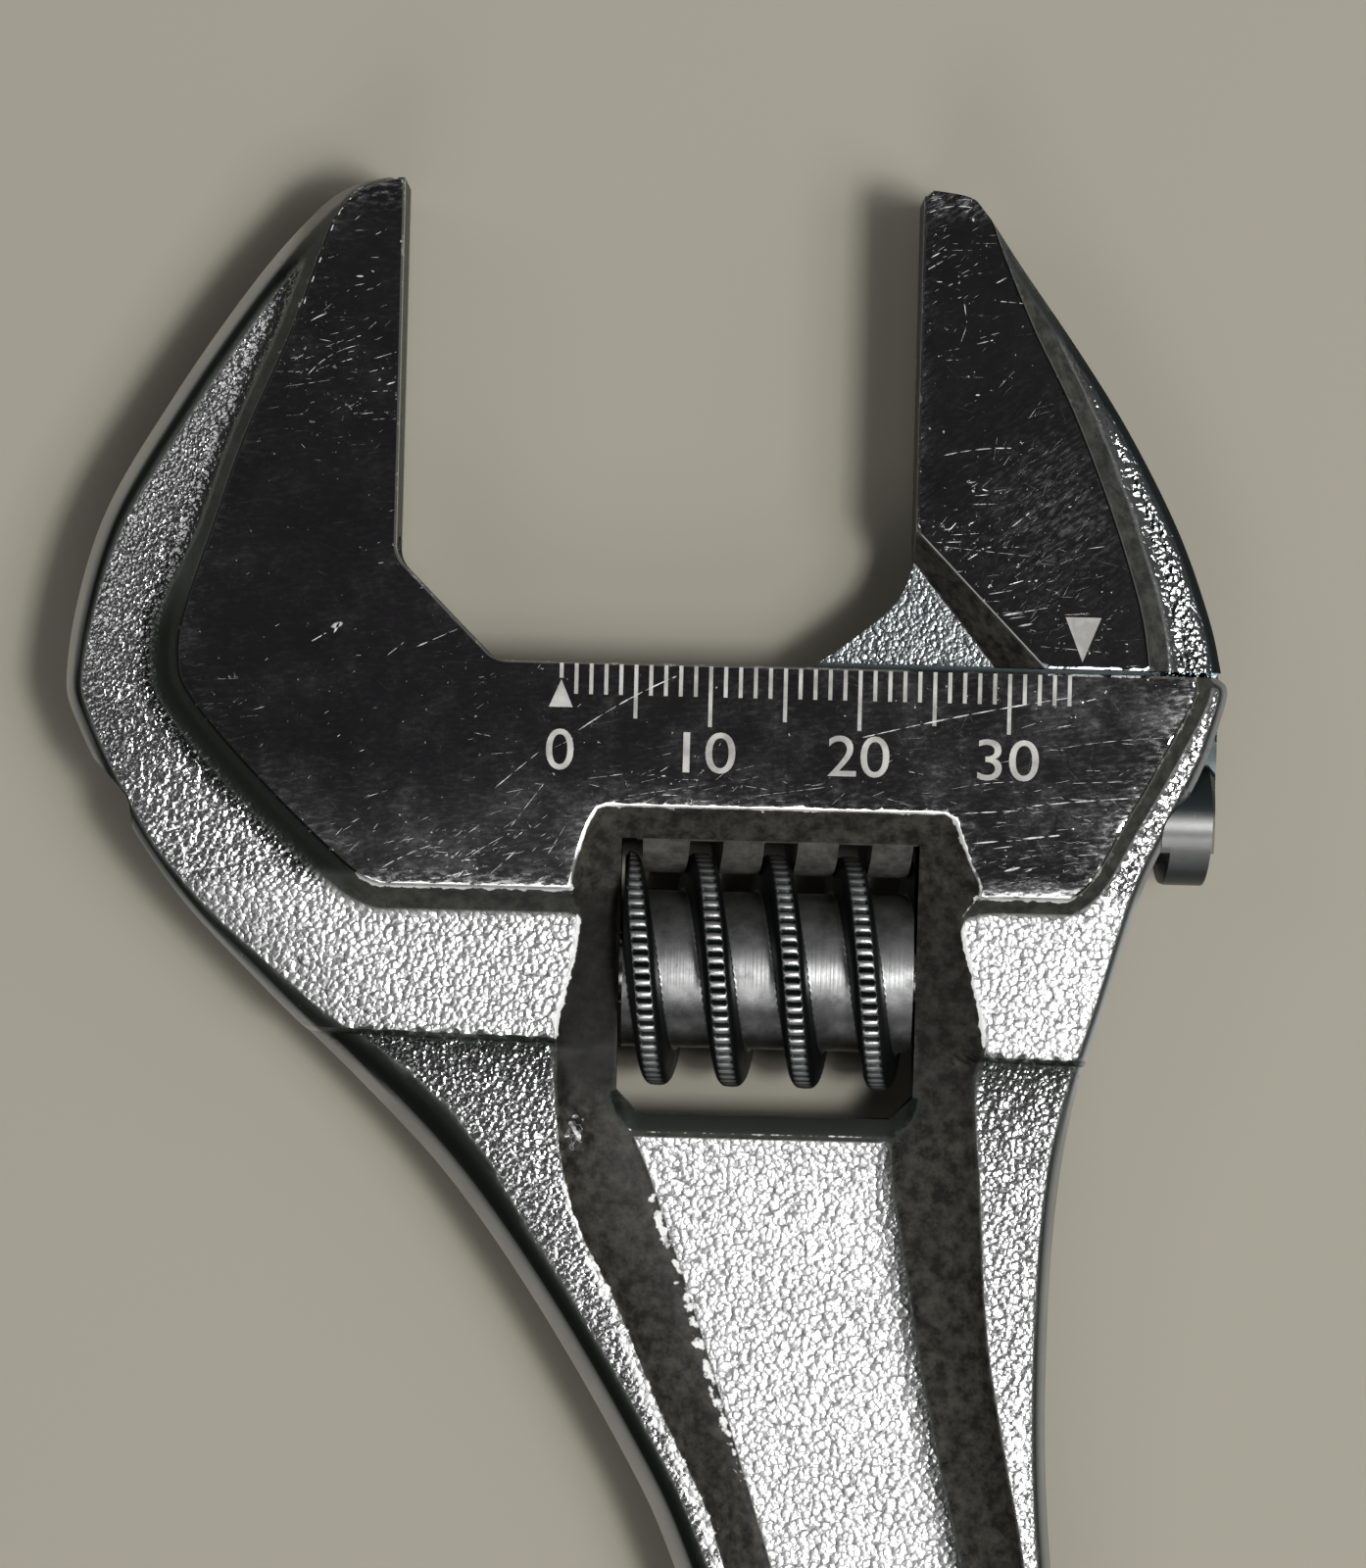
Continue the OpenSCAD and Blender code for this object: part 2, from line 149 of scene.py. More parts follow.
def inside(p, line):
    """Which points lie inside a closed outline, by counting crossings."""
    a, b = line, np.roll(line, -1, 0)
    out = np.zeros(len(p), bool)
    for rows in np.array_split(np.arange(len(p)), len(p) // 4000 + 1):
        x, y = p[rows, 0][:, None], p[rows, 1][:, None]
        with np.errstate(divide="ignore", invalid="ignore"):
            hit = (b[:, 0] - a[:, 0]) * (y - a[:, 1]) / (b[:, 1] - a[:, 1]) + a[:, 0]
        out[rows] = (((a[:, 1] > y) != (b[:, 1] > y)) & (x < hit)).sum(1) % 2 == 1
    return out


def signed(p, line):
    """Distance to a closed outline, negative inside it."""
    return np.where(inside(p, line), -1.0, 1.0) * gap_to(p, line)


def ease(x, low, high):
    """Smooth step from 0 at low to 1 at high: 3t^2 - 2t^3."""
    t = np.clip((x - low) / (high - low), 0, 1)
    return t * t * (3 - 2 * t)


def ridge(x, at, width):
    """Bell that is 1 at a place and falls off to both sides: exp(-((x - at)/width)^2)."""
    return np.exp(-((x - at) / width)**2)


def highest(*masks):
    """The greatest of several masks, point by point."""
    return np.maximum.reduce(masks)


eye_u = GRIP_LEN - EYE_W / 2
waist_u, swell_u, recess_u = 0.33 * GRIP_LEN, 0.6 * GRIP_LEN, 0.62 * GRIP_LEN
swell_w = (WAIST_W + EYE_W) / 2 - 0.4

# Free edge: back of the fixed jaw, round the head, the handle, and up to the track
free_edge = np.vstack([
    smooth_line([
        [-1.2, REACH], [-3.7, 31.45], [-6.1, 29.8], [-10, 25.2], [-15.4, 17.1],
        [-20, 8.6], [-22, -0.6], [-20.9, -5.6], [-15, -15.2], [-8.3, -22.3],
        [-1.4, -28.8], [4.6, -35], [10.6, -43.2], [16.6, -53], grip(-3.4, -12.65),
        grip(0.5 * waist_u, -WAIST_W / 2 - 0.5), grip(waist_u, -WAIST_W / 2),
        grip(swell_u, -swell_w / 2), grip(eye_u, -EYE_W / 2)]),
    eye_end(EYE_W / 2, eye_u),
    smooth_line([
        grip(eye_u, EYE_W / 2), grip(swell_u, swell_w / 2), grip(waist_u, WAIST_W / 2),
        grip(0.5 * waist_u, WAIST_W / 2 + 0.4), grip(3.2, 12.07), [45, -50],
        [45.2, -38], [46.3, -29.2], [48.4, -21.8], [50.5, -14.7], [52.5, -10.2],
        [54.5, -6], [55.8, -2], [55.9, -0.6], [55.2, 0]])])
# Jaw edge: along the track, up the throat and the gripping face to the tip
throat_c = THROAT + (math.sqrt(2) - 1) * 2
jaw_edge = np.vstack([
    [55.2, 0], arc(throat_c, 2, 2, 270, 225), arc(2, throat_c, 2, 225, 180),
    [0, REACH], [-1.2, REACH]])
silhouette = np.vstack([free_edge[:-1], jaw_edge[:-1]])

# Polished face; along the gripping face and the track it runs on into the open
boss_back = smooth_line([
    [-0.2, 32.1], [-2.2, 31.6], [-3.5, 30.9], [-4.6, 29.4], [-5.6, 26.7],
    [-7.5, 21.3], [-10.2, 14.8], [-12.1, 9], [-13.9, 3.2], [-14.4, -0.2],
    [-13.4, -3.1], [-8.4, -8.7], [-2.7, -14], [-0.5, -15.2]])
boss_front = smooth_line([
    [45.7, -15.1], [47.2, -13.7], [49.1, -10.2], [51.4, -6], [53.5, -1.8],
    [53.75, -0.4], [53, 1]])
boss = np.vstack([[3, 33.2], boss_back, boss_front,
                  [54, 3], [THROAT + 4, 3], [3, THROAT + 4]])

# Outer edge of the worm's pocket and of the handle's recess, and their floor's edge
recess_r = swell_w / 2 - 3.1
waist_in = WAIST_W / 2 - 2.8
WALL_W = 2.6
recess = np.vstack([
    [14.5, -9.5],
    smooth_line([[13.9, -9.7], [13.1, -11.3], [12.2, -14.9], [12.9, -17], [12.7, -19.6],
                 [12.1, -22.2], [11.5, -25], [11.8, -30.7], [13, -36.8], [16.2, -43.2],
                 [19, -49.6], [22.2, -56], grip(-2.5, -9.2), grip(waist_u, -waist_in),
                 grip(recess_u, -recess_r)]),
    eye_end(recess_r, recess_u),
    smooth_line([grip(recess_u, recess_r), grip(waist_u, waist_in), grip(2.7, 10.2),
                 [42.2, -52.4], [40.8, -44.4], [40.1, -34.8], [39.6, -28], [40.2, -25],
                 [39.3, -21], [38.5, -16.9], [39.7, -14.7], [38.9, -12.6], [37.9, -9.9]]),
    [37.2, -9.5]])
x0, x1, y0, y1 = WINDOW
floor_edge = np.vstack([
    [x0, y1], [x0, -28.8],
    smooth_line([[15.9, -30], [16.7, -32], [17.9, -34.8], [20.2, -41.2], [22.4, -47.6],
                 [25.4, -56.8], grip(-1.7, -6.5), grip(waist_u, WALL_W - waist_in),
                 grip(recess_u, WALL_W - recess_r)]),
    eye_end(recess_r - WALL_W, recess_u),
    smooth_line([grip(recess_u, recess_r - WALL_W), grip(waist_u, waist_in - WALL_W),
                 grip(1.7, 6.5), [38.4, -54], [36.7, -46], [35.4, -38.8], [34.7, -34.8],
                 [34.5, -32], [35.3, -30]]),
    [x1, -28.8], [x1, y1]])
window = np.array([[x0, y1], [x0, y0 + 1.5], [x0 + 1.5, y0], [x1 - 1.5, y0],
                   [x1, y0 + 1.5], [x1, y1]])
eye_x, eye_y = grip(eye_u, 0)
eye = arc(eye_x, eye_y, EYE_D / 2, 0, 354, 60)


step_r = np.random.default_rng(5)
swell_waves = [(2 * math.pi / step_r.uniform(1.3, 3.2), step_r.uniform(0, 2 * math.pi),
                step_r.uniform(0, 2 * math.pi)) for _ in range(14)]


def uneven(p):
    """Gentle hills of the forged skin, within 1: waves in many directions, added."""
    total = sum(np.sin(k * (p[:, 0] * math.cos(t) + p[:, 1] * math.sin(t)) + shift)
                for k, t, shift in swell_waves)
    return total / len(swell_waves) * 1.6


def side_drop(e, width, curl, steep):
    """How far the skin falls towards the parting line at a distance e from it.

    A parabola that steepens over curl, and then a straight drafted side.
    """
    d = np.clip(width - e, 0, None)
    return np.where(d < curl, steep * d * d / (2 * curl), steep * (d - curl / 2))


STEP_W = 0.2                  # half the width of the step down to the flanges
# Down the back edge: how far in the skin starts to fall, and its drafted side's width
BACK_Y = [-60, -38, -34, -30, -26.5, -24, -18, -13, -8, 0, 12, 26]
BACK_W = [2.3, 2.5, 3.0, 3.3, 2.7, 1.9, 1.2, 0.85, 1.0, 1.4, 1.9, 1.9]
BACK_BAND = [1.0, 0.95, 0.95, 0.95, 0.7, 0.5, 0.3, 0.15, 0.3, 0.65, 0.8, 0.8]


def forging(p):
    """Half thickness of the body over the plan, and its masks, painted shade and highlights
    among them.

    e and j are the distances to the free edge and to the jaw edge; b, r, f and w are
    those to the polished face, the recess, its floor and the window, negative inside
    them; under is how far a point lies below the step. The rim is crowned towards the
    free edge, and falls to the parting line there. The polished face stands on it,
    down a fillet that is steep at the top: (1 - b/width)^2. From the recess's edge the
    wall runs down to the floor's, at a share t = -r/(f - r) of the way across, and is
    hollow: 1 - (1 - t)^curve.
    """
    e = gap_to(p, free_edge, False)
    j = gap_to(p, jaw_edge, False)
    b, r, f, w = (signed(p, line) for line in (boss, recess, floor_edge, window))
    x, y = p.T
    under = STEP_Y - y - 0.02 * x
    below = np.clip(under, 0, None)
    left = ease(26 + 0.25 * np.clip(-30 - y, 0, None) - x, -3, 3)
    right = 1 - left
    front = right * ease(y, -34, -26)
    drilled = left * np.exp(-((y + 9.9) / 4.6)**4)

    # The rim, the step down to the flanges, and the fall to the free edge
    flange = (FLANGE - 0.35 * np.exp(-below / 7) - 0.35 * np.exp(-below / 2)
              + 0.06 * right * (x - 43) * np.exp(-below / 16)
              + 0.05 * left * (x - 6) * np.exp(-below / 10))
    h = np.where(under < 0, RIM, flange)
    h = np.where(np.abs(under) < STEP_W, RIM + (flange - RIM) * (under / STEP_W + 1) / 2, h)
    width = np.interp(y, BACK_Y, BACK_W) * left + (1.1 - 0.3 * front) * right
    band = np.interp(y, BACK_Y, BACK_BAND) * left + (0.45 - 0.15 * front) * right
    steep = 1.6 - 0.9 * front
    crown = 0.1 + 0.65 * left * (1 - 0.9 * drilled)
    h = h - crown * (1 - np.clip(np.maximum(e, width) / 6, 0, 1))**2
    h = h - side_drop(e, width, steep * (width - band), steep)

    # The polished face on its fillet, with a fine groove round its foot
    narrow = 0.7 * ease(x, 37, 41)
    fall = np.clip(b / (FILLET_W - narrow), 0, 1)
    groove = np.clip(1 - np.abs(b) / 0.12, 0, 1)
    h = h + (HALF - h) * (1 - fall)**2
    h = h - 0.1 * groove**2 * (b > -0.12)
    h = np.minimum(h, HALF - 0.15 + np.clip(j, 0, 0.15))

    # The pocket and the recess, the lump at their corner, the window's lip and the eye
    t = np.clip(-r / np.maximum(-r + np.maximum(f, 0), 1e-6), 0, 1)
    low = np.interp(y, [-34, -31, -26, -16, -13, -11.7], [WEB, 2.1, 3.0, 3.3, 3.9, 4.3])
    top = ease(y, -13.5, -11.5)
    eased = RIM + (FLANGE - 0.4 - RIM) * ease(under, -2.5, 2.5)
    h = np.where(r < 0, h + (np.minimum(h, eased) - h) * ease(-r, 0, 0.7) * (b > 2), h)
    curve = np.interp(y, [-36, -27], [1.5, 1.1])
    hollow = (1 - (1 - t)**curve) * (1 - top) + t * top
    h = np.where(r < 0, h + (low - h) * hollow, h)
    lump = ridge(x, 12.9, 0.8) * ridge(y, -31.6, 1.5)
    h = h + 0.35 * lump * (1 + 0.8 * np.sin(5 * x + 3 * y) * np.sin(4 * y)) * (r < 0)
    bank = np.clip(1 + f / 1.8, 0, 1) * (f < 0) * right * ease(-y, 30, 32)
    h = h + 0.3 * bank**2
    lip = np.clip(1 - w / 1.5, 0, 1) * ease(-y, 28.0, 29.6) * ease(-f, -1.2, 0.2)
    ring = np.clip(1 - (np.hypot(x - eye_x, y - eye_y) - EYE_D / 2) / 0.8, 0, 1)
    h = h - 0.9 * lip**1.5 - 0.8 * ring

    # Where the skin is rough: the rim and flanges, the web and the lump
    up = left * ease(y, 1, 9)
    skin = 0.2 * ease(b, 0.15, 0.5) + 0.8 * ease(b + 0.9 * up + narrow, 1.45, 2.15)
    rough = ease(e - width, -0.45, 0.05) * skin * ease(r, -0.1, 0.35) * (1 - ring)
    jagged = np.abs(under + 0.07 * (np.sin(3.1 * x) + np.sin(5.3 * x + 1)
                                    + np.sin(7.9 * x + 2)))
    rough = rough * (1 - ease(-jagged, -0.28, -0.2))
    rough = rough * (1 - 0.25 * np.exp(-below / 2) * (under > 0))
    web = ease(-f, 0.0, 0.5) * (y < -29)
    glint = (r < 0) * lump * (0.65 + 0.5 * np.sin(7 * x + 2.1 * y) * np.sin(6.1 * y - 3 * x))
    rough = highest(rough, web * (lip < 0.02), ease(glint, 0.35, 0.6))
    h = h + 0.1 * glint + 0.03 * uneven(p) * rough
    polish = ease(-b, -0.12, -0.01) * ease(r, -0.1, 0.05)

    # Where edges are worn bright, with painted highlights and glints where edges and the
    # lump would catch the lamps, strongest on the polished face's lower edges: round the
    # polished face, the pocket, the jaw, the window's lip, the left and right flange, the
    # web's left edge, and on the lump
    lower = np.maximum(ease(-y, 14.2, 15.1), 0.25 * (x > 39))
    brim = 0.22 + 0.35 * ease(-y, 36, 48)
    wear_and_glint = highest(
        ((0.27 + 0.73 * lower) * (r > -0.3) + 0.1 * ease(y, 18, 24)) * ridge(b, 0, 0.22),
        ridge(r, 0, 0.14) * ease(y, -25.6, -25) * (0.5 + 0.5 * ease(np.abs(y + 18), 4, 6)),
        ridge(r, 0.2, 0.25) * ease(-y, 16, 17.5) * (1 - ease(-y, 24.4, 24.9)),
        0.42 * ridge(j, 0, 0.2),
        0.43 * ridge(w, 1.2, 0.07) * (lip > 0) * ease(-y, 31.2, 31.4),
        0.75 * ridge(r, brim, brim) * left * ease(-y, 32, 36),
        0.5 * right * ease(-y, 43, 52) * ease(r, 0.2, 0.6) * ease(e - width, 0, 0.3),
        0.62 * ridge(f, 0.05, 0.45) * left * ease(-y, 33, 37) * (1 - ease(-y, 52, 58)),
        0.7 * ease(glint, 0.5, 0.8),
        0.95 * ease(lump, 0.5, 0.8) * ease(np.sin(5 * x + 3 * y), 0.3, 0.6))
    haze = highest((b < 0) * np.exp(-np.abs(b) / 0.9) * (0.15 + 0.85 * lower),
                   (r > 0) * 0.3 * np.exp(-np.abs(r) / 0.5), 0.5 * ease(y, 29.3, 31.3))

    # Painted shade: the colour darkened where shade falls or the surface faces the dark
    # sky: the fillet and its groove, the turn of the edge, the window's lip, the step and
    # what lies under it, and the web's right edge
    side = ease(band - e, -0.2, 0.15) * ease(b, 0, 0.3)
    black = left * (1 - up) * (1 - ease(-y, 14, 16))
    painted_shade = ease(b, -0.12, 0) * (1 - ease(b + narrow, 1 + 0.6 * black, 2.6 + 0.3 * black)**2)
    painted_shade = painted_shade * (0.25 + 0.7 * black + 0.35 * up)
    out = ease(r, -0.1, 0.1) * (1 - side)
    margin = 1 - ease(-f, 0, 1.2 + 0.5 * ease(-y, 32, 42))
    painted_shade = highest(
        np.maximum(painted_shade, groove) * ease(r, -0.3, 0.1),
        ease(width - e, -0.05, 0.35) * (1 - side) * ease(b, 0, 0.3),
        0.97 * ease(lip, 0, 0.25),
        ease(-jagged, -0.28, -0.19) * out,
        0.95 * np.exp(-below / (6 - 2.6 * left)) * (under > 0) * out,
        0.97 * margin * ease(-f, 0, 0.3) * right * (y < -31))

    # Calmer glints on the web, on the rim under the polished face and on the flanges
    calm = highest(web, ease(-y, 14, 16) * (under < 0) * (1 - 0.3 * left),
                   0.5 * right * (under > 0), 0.2 * left * ease(-y, 5, 12))
    # Painted shade on the pocket's walls under the polished face, darker on the left wall
    painted_wall_shade = (r < 0) * (f > 0) * ease(-y, 14, 17) * (1 - ease(-y, 27, 31)) * (0.35 + 0.4 * left)
    return h, {"rough": rough, "polish": polish, "wear_and_glint": np.clip(wear_and_glint, 0, 1), "side": side,
               "haze": haze * polish, "painted_shade": painted_shade, "fine": 0.9 * left * ease(y, -14, -2),
               "calm": calm, "painted_wall_shade": painted_wall_shade}


def rows_along(line, shifts, closed):
    """Rows of points beside a line; a point that another stretch comes nearer to goes."""
    rows = []
    for d in shifts:
        q = shifted(line, d, closed)
        rows.append(q[np.abs(gap_to(q, line, closed) - abs(d)) < 0.03])
    return rows


def hexagons(low, high, step):
    """Points of a triangular lattice over a rectangle."""
    xs = np.arange(low[0], high[0], step)
    ys = np.arange(low[1], high[1], step * math.sqrt(3) / 2)
    gx, gy = np.meshgrid(xs, ys)
    gx[1::2] += step / 2
    return np.column_stack([gx.ravel(), gy.ravel()])


def anticlockwise(v, f):
    """The triangles of a plan, all turned anticlockwise, without those of no area."""
    a, b, c = v[f[:, 0]], v[f[:, 1]], v[f[:, 2]]
    turn = (b - a)[:, 0] * (c - a)[:, 1] - (b - a)[:, 1] * (c - a)[:, 0]
    return np.where(turn[:, None] < 0, f[:, ::-1], f)[np.abs(turn) > 1e-9]


def plan_mesh(outline, holes, creases, loose):
    """Triangles over a plan: the outline, holes and creases are edges of the mesh.

    creases are (line, closed) pairs; loose are points between them. Triangles
    outside the outline or inside a hole are dropped.
    """
    lines = [(line, True) for line in (outline, *holes)] + creases
    edges, n = [], 0
    for line, closed in lines:
        m = len(line)
        i = np.arange(m if closed else m - 1)
        edges.append(np.column_stack([i, (i + 1) % m]) + n)
        n += m
    p = np.vstack([line for line, _ in lines] + [loose])
    got = delaunay_2d_cdt(p.tolist(), np.vstack(edges).tolist(), [], 0, 1e-4)
    v, f = np.array([tuple(q) for q in got[0]]), np.array(got[2])
    centre = v[f].mean(1)
    good = inside(centre, outline)
    for hole in holes:
        good &= ~inside(centre, hole)
    used, f = np.unique(f[good], return_inverse=True)
    v = v[used]
    return v, anticlockwise(v, f.reshape(-1, 3))


def two_sided(v, f, half):
    """Closed solid from a plan mesh: the front at +half, the back at -half, and walls.

    Every edge of the plan that has one triangle gets a wall of evenly spaced rows.
    """
    n, walls = len(v), 6
    e = np.vstack([f[:, [0, 1]], f[:, [1, 2]], f[:, [2, 0]]])
    key = e[:, 0] * n + e[:, 1]
    rim = e[~np.isin(key, e[:, 1] * n + e[:, 0])]
    used = np.unique(rim)
    place = np.full(n, -1)
    place[used] = np.arange(len(used))
    rows = [used]
    points = [np.column_stack([v, HALF + half]), np.column_stack([v, HALF - half])]
    for k in range(1, walls):
        share = 1 - 2 * k / walls
        points.append(np.column_stack([v[used], HALF + half[used] * share]))
        rows.append(2 * n + (k - 1) * len(used) + np.arange(len(used)))
    rows.append(n + used)
    a, b = place[rim[:, 0]], place[rim[:, 1]]
    quads = [np.column_stack([up[b], up[a], down[a], down[b]])
             for up, down in zip(rows[:-1], rows[1:])]
    return np.vstack(points), [f, f[:, ::-1] + n] + quads


def make_piece(name, points, groups, sharp=35.0):
    """Mesh object from points in millimetres and arrays of faces, smooth but for creases."""
    mesh = bpy.data.meshes.new(name)
    mesh.from_pydata((points * MM).tolist(), [], [row for g in groups for row in g.tolist()])
    mesh.validate()
    mesh.polygons.foreach_set("use_smooth", np.ones(len(mesh.polygons), bool))
    mesh.set_sharp_from_angle(angle=math.radians(sharp))
    piece = bpy.data.objects.new(name, mesh)
    bpy.context.scene.collection.objects.link(piece)
    return piece


def hoops(n, m, closed=False):
    """Quads that join n rings of m points, and the last ring to the first if closed."""
    i, k = np.meshgrid(np.arange(n if closed else n - 1), np.arange(m), indexing="ij")
    i2, k2 = (i + 1) % n, (k + 1) % m
    return np.stack([i * m + k, i * m + k2, i2 * m + k2, i2 * m + k], 2).reshape(-1, 4)


def prism(m, first=0):
    """Faces of a closed prism: a ring of m points, and the same ring carried along."""
    ring = first + np.arange(m)[None, :]
    return [hoops(2, m) + first, ring[:, ::-1], ring + m]


def about_x(x, r, m, y):
    """Rings of m points about a line along X: y + r cos and mid-thickness + r sin."""
    a = 2 * np.pi * np.arange(m) / m
    x, r = np.reshape(x, (-1, 1)) + 0 * a, r + 0 * a
    return np.stack([x, y + r * np.cos(a), HALF + r * np.sin(a)], 2).reshape(-1, 3)


def rod_x(name, start, end, y, radius):
    """Closed cylinder along X in the middle plane."""
    p = about_x([start, end], np.full((2, 1), radius), SIDES, y)
    return make_piece(name, p, prism(SIDES))


def plate(name, line, half):
    """Closed plate about the middle plane with a given outline."""
    n = len(line)
    p = np.vstack([np.column_stack([line, np.full(n, HALF + s * half)]) for s in (-1, 1)])
    return make_piece(name, p, prism(n))


def cut_away(piece, tools, union=False):
    """Take the tools' shapes out of the piece, or add them, and delete the tools."""
    for tool in tools:
        m = piece.modifiers.new("cut", "BOOLEAN")
        m.operation = "UNION" if union else "DIFFERENCE"
        m.solver = "EXACT"
        m.object = tool
    graph = bpy.context.evaluated_depsgraph_get()
    mesh = bpy.data.meshes.new_from_object(piece.evaluated_get(graph))
    piece.modifiers.clear()
    old, piece.data = piece.data, mesh
    for used_up in [old] + [tool.data for tool in tools]:
        bpy.data.meshes.remove(used_up)
    mesh.name = piece.name


def coordinates(piece):
    """The mesh's points in millimetres, as one array."""
    co = np.empty(len(piece.data.vertices) * 3)
    piece.data.vertices.foreach_get("co", co)
    return co.reshape(-1, 3) / MM


def paint(piece, **masks):
    """Store masks from 0 to 1 on the mesh's points, for its material to read."""
    for name, values in masks.items():
        layer = piece.data.attributes.new(name, "FLOAT", "POINT")
        layer.data.foreach_set("value", np.asarray(values, np.float32))


def spare(p, taken, reach):
    """The points of p that have no taken point in their own or a neighbouring cell."""
    def key(q):
        c = np.floor(q / reach).astype(np.int64) + 5000
        return c[:, 0] * 100000 + c[:, 1]
    cells = np.unique(key(taken))
    free = np.ones(len(p), bool)
    for dx in (-1, 0, 1):
        for dy in (-1, 0, 1):
            free &= ~np.isin(key(p + [dx * reach, dy * reach]), cells)
    return p[free]


def forged_solid(name, outline, holes, creases, rows, corners, forge):
    """Closed solid of a forging, over its edges, rows beside them and a lattice between.

    corners are the lattice's lowest and highest, and forge gives half the thickness.
    """
    lines = np.vstack([outline, *holes] + [line for line, _ in creases])
    near = spare(rows, lines, 0.03)
    loose = np.vstack([near, spare(hexagons(*corners, SKIN), np.vstack([lines, near]), 0.3)])
    v, f = plan_mesh(outline, holes, creases, loose[inside(loose, outline)])
    return make_piece(name, *two_sided(v, f, forge(v)[0]))


SKIN = 0.5   # spacing of the mesh between them
SIDES = 96                    # sides of what is round

outline = np.vstack([divided(free_edge)[:-1], divided(jaw_edge)[:-1]])
boss_lines = [divided([*boss_back, [12.1, -15.2]]), divided([[39.8, -15.1], *boss_front])]
recess_line, floor_line, window_line = (
    divided(line, True) for line in (recess, floor_edge, window))
creases = [(line, False) for line in boss_lines] + [(recess_line, True), (floor_line, True)]
step_rows = []
for x_low, x_high in ((-7, 11.3), (39.9, 48)):
    step_line = divided([[x, STEP_Y - 0.02 * x] for x in (x_low, x_high)])
    creases += [(shifted(step_line, off), False) for off in (-STEP_W, STEP_W)]
    step_rows += [shifted(step_line, off) for off in (-0.7, -0.3, 0.3, 0.5, 0.8, 1.2)]

rows = rows_along(divided(free_edge), [
    -0.2, -0.45, -0.7, -0.95, -1.2, -1.45, -1.7, -2.0, -2.3, -2.7, -3.1, -3.6], False)
rows += rows_along(divided(jaw_edge), [-0.15, -0.45], False)
for line in boss_lines:
    rows += rows_along(line, [-0.5, -0.25, -0.12, 0.12, 0.3, 0.6, 0.95, 1.35, 1.8, 2.3], False)
rows += rows_along(recess_line, [0.5, 0.15, -0.15, -0.4, -0.8, -1.3, -1.9], True)
rows += rows_along(floor_line, [1.2, 0.7, 0.3, -0.3, -0.8], True)
rows += rows_along(window_line, [0.3, 0.7, 1.05, 1.2, 1.35, 1.7], True)
rows += rows_along(eye, [0.15, 0.35, 0.6, 0.8, 1.2], True)
rows += [row[inside(row, silhouette)] for row in step_rows]
rows.append(hexagons((11.2, -34.2), (15, -29.2), 0.25))
body = forged_solid("forged_body", outline, [window_line, eye], creases, np.vstack(rows),
                    ((-24, -132), (58, 34)), forging)

GUSSET_LEN, GUSSET_H = 6.8, 7.3
gusset_edge = smooth_line([[-GUSSET_LEN, 0], [-0.5 * GUSSET_LEN, 0.34 * GUSSET_H],
                           [-0.14 * GUSSET_LEN, 0.66 * GUSSET_H], [0, GUSSET_H]], 6)
# Room beside the slot for the bevelled foot of the movable jaw, when it is closed
FOOT_ROOM = [[-0.3, 7.5], [5.4, 0.12], [7.2, 0.12], [7.2, 1.5], [1.2, 9]]
slot = np.vstack([[-7.3, BAR_Y], [60, BAR_Y], [60, 1], [1, GUSSET_H + 2],
                  gusset_edge[::-1] + [-0.5, 0.6]])
cut_away(body, [
    rod_x("channel", -60, 70, BAR_Y, CHANNEL_R),
    plate("slot", slot, SLOT_HALF),
    plate("foot_room", np.array(FOOT_ROOM), FOOT_HALF)])
cut_away(body, [
    rod_x("pin_hole", PIN_X - 0.1, PIN_HEAD_X + 0.5, WORM_Y, PIN_HOLE_R),
    rod_x("pin_head_hole", PIN_HEAD_X, 60, WORM_Y, HEAD_HOLE_R)])
co = coordinates(body)
h, masks = forging(co[:, :2])
face = ease(np.abs(co[:, 2] - HALF) - h, -0.3, -0.02)
paint(body, **{key: mask * face for key, mask in masks.items()})


def group(name, inputs, output):
    """Empty node group, its inputs (name: default) and its one output; all are numbers."""
    tree = bpy.data.node_groups.new(name, "ShaderNodeTree")
    number = "NodeSocketFloat"
    for key, value in inputs.items():
        socket = tree.interface.new_socket(key, in_out="INPUT", socket_type=number)
        socket.default_value = value
    tree.interface.new_socket(output, in_out="OUTPUT", socket_type=number)
    return (tree, add(tree, "NodeGroupInput").outputs[:len(inputs)],
            add(tree, "NodeGroupOutput").inputs[0])


def connect(source, socket):
    """Link an output to an input socket, or set the input to a number or colour."""
    if isinstance(source, bpy.types.NodeSocket):
        socket.id_data.links.new(source, socket)
    else:
        socket.default_value = source


def add(tree, kind, **values):
    """New node; values are its settings, and its inputs by name: sockets or constants."""
    node = tree.nodes.new(kind)
    for key, value in values.items():
        if hasattr(node, key):
            setattr(node, key, value)
        else:
            connect(value, node.inputs[key.replace("_", " ")])
    return node


def maths(operation, a, b=0.0, clamp=False):
    """One Math node; a and b are sockets or numbers."""
    tree = (b if isinstance(a, (int, float)) else a).id_data
    node = add(tree, "ShaderNodeMath", operation=operation, use_clamp=clamp)
    connect(a, node.inputs[0])
    connect(b, node.inputs[1])
    return node.outputs[0]


def times(a, *others):
    """Product of sockets and numbers."""
    for other in others:
        a = maths("MULTIPLY", a, other)
    return a


def plus(a, *others):
    """Sum of sockets and numbers."""
    for other in others:
        a = maths("ADD", a, other)
    return a


def most(mask, *others):
    """Greatest of several masks."""
    for other in others:
        mask = maths("MAXIMUM", mask, other)
    return mask


def spread(value, low, high, to_low=0.0, to_high=1.0):
    """Map Range node: low to high becomes to_low to to_high, clamped."""
    node = add(value.id_data, "ShaderNodeMapRange")
    for i, source in enumerate((value, low, high, to_low, to_high)):
        connect(source, node.inputs[i])
    return node.outputs[0]


def noise(place, scale, detail=2.0, roughness=0.5):
    """Fractal noise about 0.5, read at a place."""
    return add(place.id_data, "ShaderNodeTexNoise", Vector=place, Scale=scale, Detail=detail,
               Roughness=roughness).outputs["Fac"]


